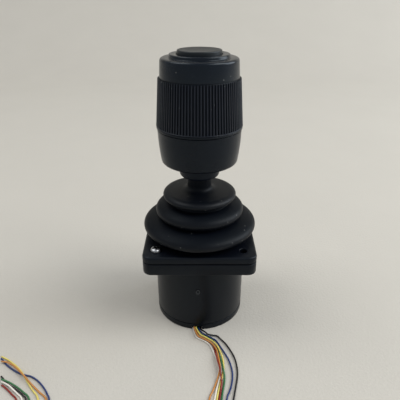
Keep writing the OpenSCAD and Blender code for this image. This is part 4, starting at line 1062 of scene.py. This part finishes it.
# %% Button
STEM = 3.0
BUTTON_FLANGE = BUTTON + 1.3
button_low, button_high = low_high("button_cap")
flange_z = flat - 2.6 - 0.3
crown = [(BUTTON - 1.6, button_high.z - 0.03, 0.5), (BUTTON * 0.5, button_high.z - 0.22, 1.5),
    (0.0, button_high.z - 0.3, 0)]
button = turned("push_button", eased([(0.0, button_low.z, 0), (STEM, button_low.z, 0.2),
    (STEM, flange_z - 1.3, 0), (BUTTON_FLANGE, flange_z - 1.3, 0.2), (BUTTON_FLANGE, flange_z, 0.2),
    (BUTTON, flange_z, 0), (BUTTON, button_high.z, 0.5)] + crown, 7), 160)
dress(button, BUTTON_BLACK, "button_plastic", "button", "button_cap")

# %% [markdown]
# ## The button's return spring
# A small coil spring lifts the button. It gets shorter as the button goes down; a rigid
# piece would poke into the button instead. Here the coil is a tube along a helix that rides
# on the knob.

# %% Coil spring
WIRE = 0.3
COIL_CUTS = 96
TURNS = 2
spring_low, spring_high = low_high("button_spring")
rise = spring_high.z - spring_low.z - 2 * WIRE
coil_radius = spring_high.x - WIRE
coil = [Vector((coil_radius * math.cos(a), coil_radius * math.sin(a),
    spring_low.z + WIRE + rise * k / COIL_CUTS))
    for k, a in enumerate(angles(0, 360 * TURNS, COIL_CUTS))]
work = bmesh.new()
tube(work, coil, [WIRE] * len(coil), 10, [0] * len(coil))
spring = piece_from("return_spring", work, 60.0)
dress(spring, SPRING_STEEL, "spring_steel", "knob", "button_spring")
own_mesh(spring)


# %% [markdown]
# ## The ribbed sleeve
# The finger and thumb turn the knob by its sleeve, which has fine upright ribs all the
# way round. Drawing 90 ribs by hand would be hopeless, and a bump pattern would vanish in
# the outline, so Geometry Nodes make them: one rib is swept along the sleeve's slope, its
# ends fade into the surface, and it is placed 90 times round the axis on a turned core.

# %% Sleeve core
RIBS = 90
RIB_WIDTH = 0.84
RIB_DEPTH = 0.5
SLEEVE_TOP = 17.05
core_foot = (KNOB_WIDE - 0.05 - RIB_DEPTH, sleeve_low.z + 0.5)
core_head = (SLEEVE_TOP - RIB_DEPTH, sleeve_top - 0.35)
sleeve = turned("grip_ribs", eased([(TUBE + 0.05, sleeve_low.z, 0), (KNOB_WIDE, sleeve_low.z, 0.1),
    (KNOB_WIDE, sleeve_low.z + 0.3, 0.1), (*core_foot, 0.1), (*core_head, 0.2),
    (core_head[0] - 0.2, sleeve_top, 0), (TUBE + 0.05, sleeve_top, 0)]), 168)
print("ribs:", RIBS, "over a height of", round(core_head[1] - core_foot[1], 1))

# %% A rubber whose crests are polished, with painted shade between the ribs
def ribbed_rubber(name):
    """Fingers polish the crests, so the coat grows with the height above the core; the colour is painted shade
    between the ribs and a painted highlight on the crests.
    """
    finish = Finish(name, Specular_IOR_Level=0.16, Specular_Tint=COOL, Coat_Tint=COOL,
        Coat_Roughness=0.30)
    slope = (core_head[0] - core_foot[0]) / (core_head[1] - core_foot[1])
    height = finish.add("ShaderNodeSeparateXYZ", None, {"Vector": finish.place()}, out="Z")
    out_from_axis = finish.length(finish.place((1.0, 1.0, 0.0)))
    above = out_from_axis - height * slope - (core_foot[0] - core_foot[1] * slope) * MM
    crest_polish_and_shade = finish.rise(above, 0.25 * RIB_DEPTH * MM, RIB_DEPTH * MM)
    cloud = finish.noise(9.0, 3.0)
    speck = finish.noise(0.14, 2.0)
    # Base colour from valley to crest: painted shade low between the ribs, a painted highlight on the crests.
    base = finish.blend(crest_polish_and_shade, (0.0008, 0.0018, 0.0050), (0.0032, 0.0056, 0.0140))
    finish.set("Base Color", finish.dusted(base, 0.4))
    finish.set("Coat Weight", crest_polish_and_shade * (cloud * 0.5 + 0.36))
    finish.set("Roughness", cloud * 0.08 + speck * 0.06 + 0.44)
    finish.relief(speck, 0.008)
    return finish.material


SLEEVE_BLACK = ribbed_rubber("sleeve_rubber")
print("finishes in all:", len(bpy.data.materials))

# %% Ribs by Geometry Nodes
ribbed = Grower("ribs", Count=("Int", RIBS), Foot=("Vector", (core_foot[0] * MM, 0.0,
    (core_foot[1] - 0.25) * MM)), Head=("Vector", (core_head[0] * MM, 0.0,
    (core_head[1] + 0.1) * MM)), Width=("Float", RIB_WIDTH * MM), Depth=("Float", RIB_DEPTH * MM))
line = ribbed.add("GeometryNodeCurvePrimitiveLine", None,
    {"Start": ribbed.input("Foot"), "End": ribbed.input("Head")})
line = ribbed.add("GeometryNodeResampleCurve", None, {"Curve": line, "Count": 40})
along = ribbed.add("GeometryNodeSplineParameter", out="Factor")
from_middle = ribbed.sum("ABSOLUTE", along * 2.0 - 1.0)
fade = ribbed.sum("SQRT", 1.0 - ribbed.sum("POWER", from_middle, 60.0) * 0.97)
line = ribbed.add("GeometryNodeSetCurveRadius", None, {"Curve": line, "Radius": fade})
line = ribbed.add("GeometryNodeSetCurveNormal", {"mode": "Z_UP"}, {"Curve": line})
bar = ribbed.add("GeometryNodeCurvePrimitiveCircle", {"mode": "RADIUS"},
    {"Resolution": 10, "Radius": 1.0})
oval = ribbed.add("ShaderNodeCombineXYZ", None, {"X": ribbed.input("Width") * 0.5,
    "Y": ribbed.input("Depth"), "Z": 1.0})
bar = ribbed.add("GeometryNodeTransform", None, {"Geometry": bar, "Scale": oval})
rib = ribbed.add("GeometryNodeCurveToMesh", None, {"Curve": line, "Profile Curve": bar,
    "Fill Caps": True})
step = ribbed.sum("DIVIDE", 2 * math.pi, ribbed.input("Count"))
ribs = ribbed.placed(ribbed.input("Count"), rib, ribbed.add("GeometryNodeInputIndex") * step)
whole = ribbed.add("GeometryNodeJoinGeometry", None, {"Geometry": [ribs, ribbed.input("Geometry")]})
ribbed.run(whole, SLEEVE_BLACK, sleeve, 50.0)
reach = max(math.hypot(v.co.x, v.co.y) for v in sleeve.data.vertices) / MM
print("sleeve radius over everything:", round(reach, 2), "of", round(KNOB_WIDE, 2))
dress(sleeve, SLEEVE_BLACK, "grip_rubber", "knob", "grip_sleeve")


# %% [markdown]
# ## Table and lamps
# The sheet under the joystick is pale, warm grey paper with very faint creases. The lamps
# are area lights, as big as the walls of a small light tent. An upright black face mirrors
# the sheet in front of it, faintly when seen square on and strongly at a grazing angle, so
# the knob and the body are darkest in the middle and brighten towards their sides.

# %% Sheet
def sheet_finish():
    finish = Finish("sheet_paper", Roughness=0.85)
    crease = finish.noise(70.0, 3.0)
    fibre = finish.noise(1.2, 3.0)
    tone = crease * 0.5 + fibre * 0.5
    finish.set("Base Color", finish.blend(tone, (0.548, 0.526, 0.477), (0.612, 0.588, 0.535)))
    finish.relief(fibre * 0.2 + crease * 0.8, 1.6, 0.5)
    return finish.material


def sweep_sheet():
    """A floor that curves up into a backdrop."""
    half, front, turn_at, radius, rise = 1.6, -0.9, 0.55, 0.5, 1.2
    section = [(front, 0.0), (turn_at, 0.0)]
    section += [(turn_at + radius * math.sin(a), radius * (1 - math.cos(a)))
        for a in angles(0, 90, 16)[1:]]
    section.append((turn_at + radius, rise))
    work = bmesh.new()
    rows = [[work.verts.new((x, y, z - 0.00002)) for x in (-half, half)] for y, z in section]
    for near, far in zip(rows, rows[1:]):
        work.faces.new((near[0], near[1], far[1], far[0]))
    return piece_from("sheet", work, 60.0)


sheet = sweep_sheet()
sheet.data.materials.append(sheet_finish())
print("sheet faces:", len(sheet.data.polygons))


# %% Lamps
def lamp(name, place, aim, size, power, colour):
    light = bpy.data.lights.new(name, "AREA")
    light.shape = "RECTANGLE"
    light.size, light.size_y = size
    light.energy = power
    light.color = colour
    holder = added(name, light)
    holder.location = place
    holder.rotation_euler = (Vector(aim) - Vector(place)).to_track_quat("-Z", "Y").to_euler()


FLANGE_AIM = (0.0, 0.0, 0.05)
lamp("lamp_right", (1.0, -0.30, 1.2), FLANGE_AIM, (0.9, 0.9), 11.5, (1.0, 0.985, 0.95))
lamp("lamp_left", (-0.8, 0.10, 1.4), FLANGE_AIM, (0.9, 0.9), 7.5, (1.0, 0.985, 0.955))
lamp("window", (1.2, 0.20, 0.55), (0.0, 0.0, 0.06), (0.8, 0.6), 6.5, (0.90, 0.95, 1.0))
world = bpy.data.worlds.new("room")
world.use_nodes = True
room = world.node_tree.nodes["Background"].inputs
room["Color"].default_value = (0.93, 0.96, 1.0, 1.0)
room["Strength"].default_value = 0.42
bpy.context.scene.world = world
print("lamps:", len(bpy.data.lights))
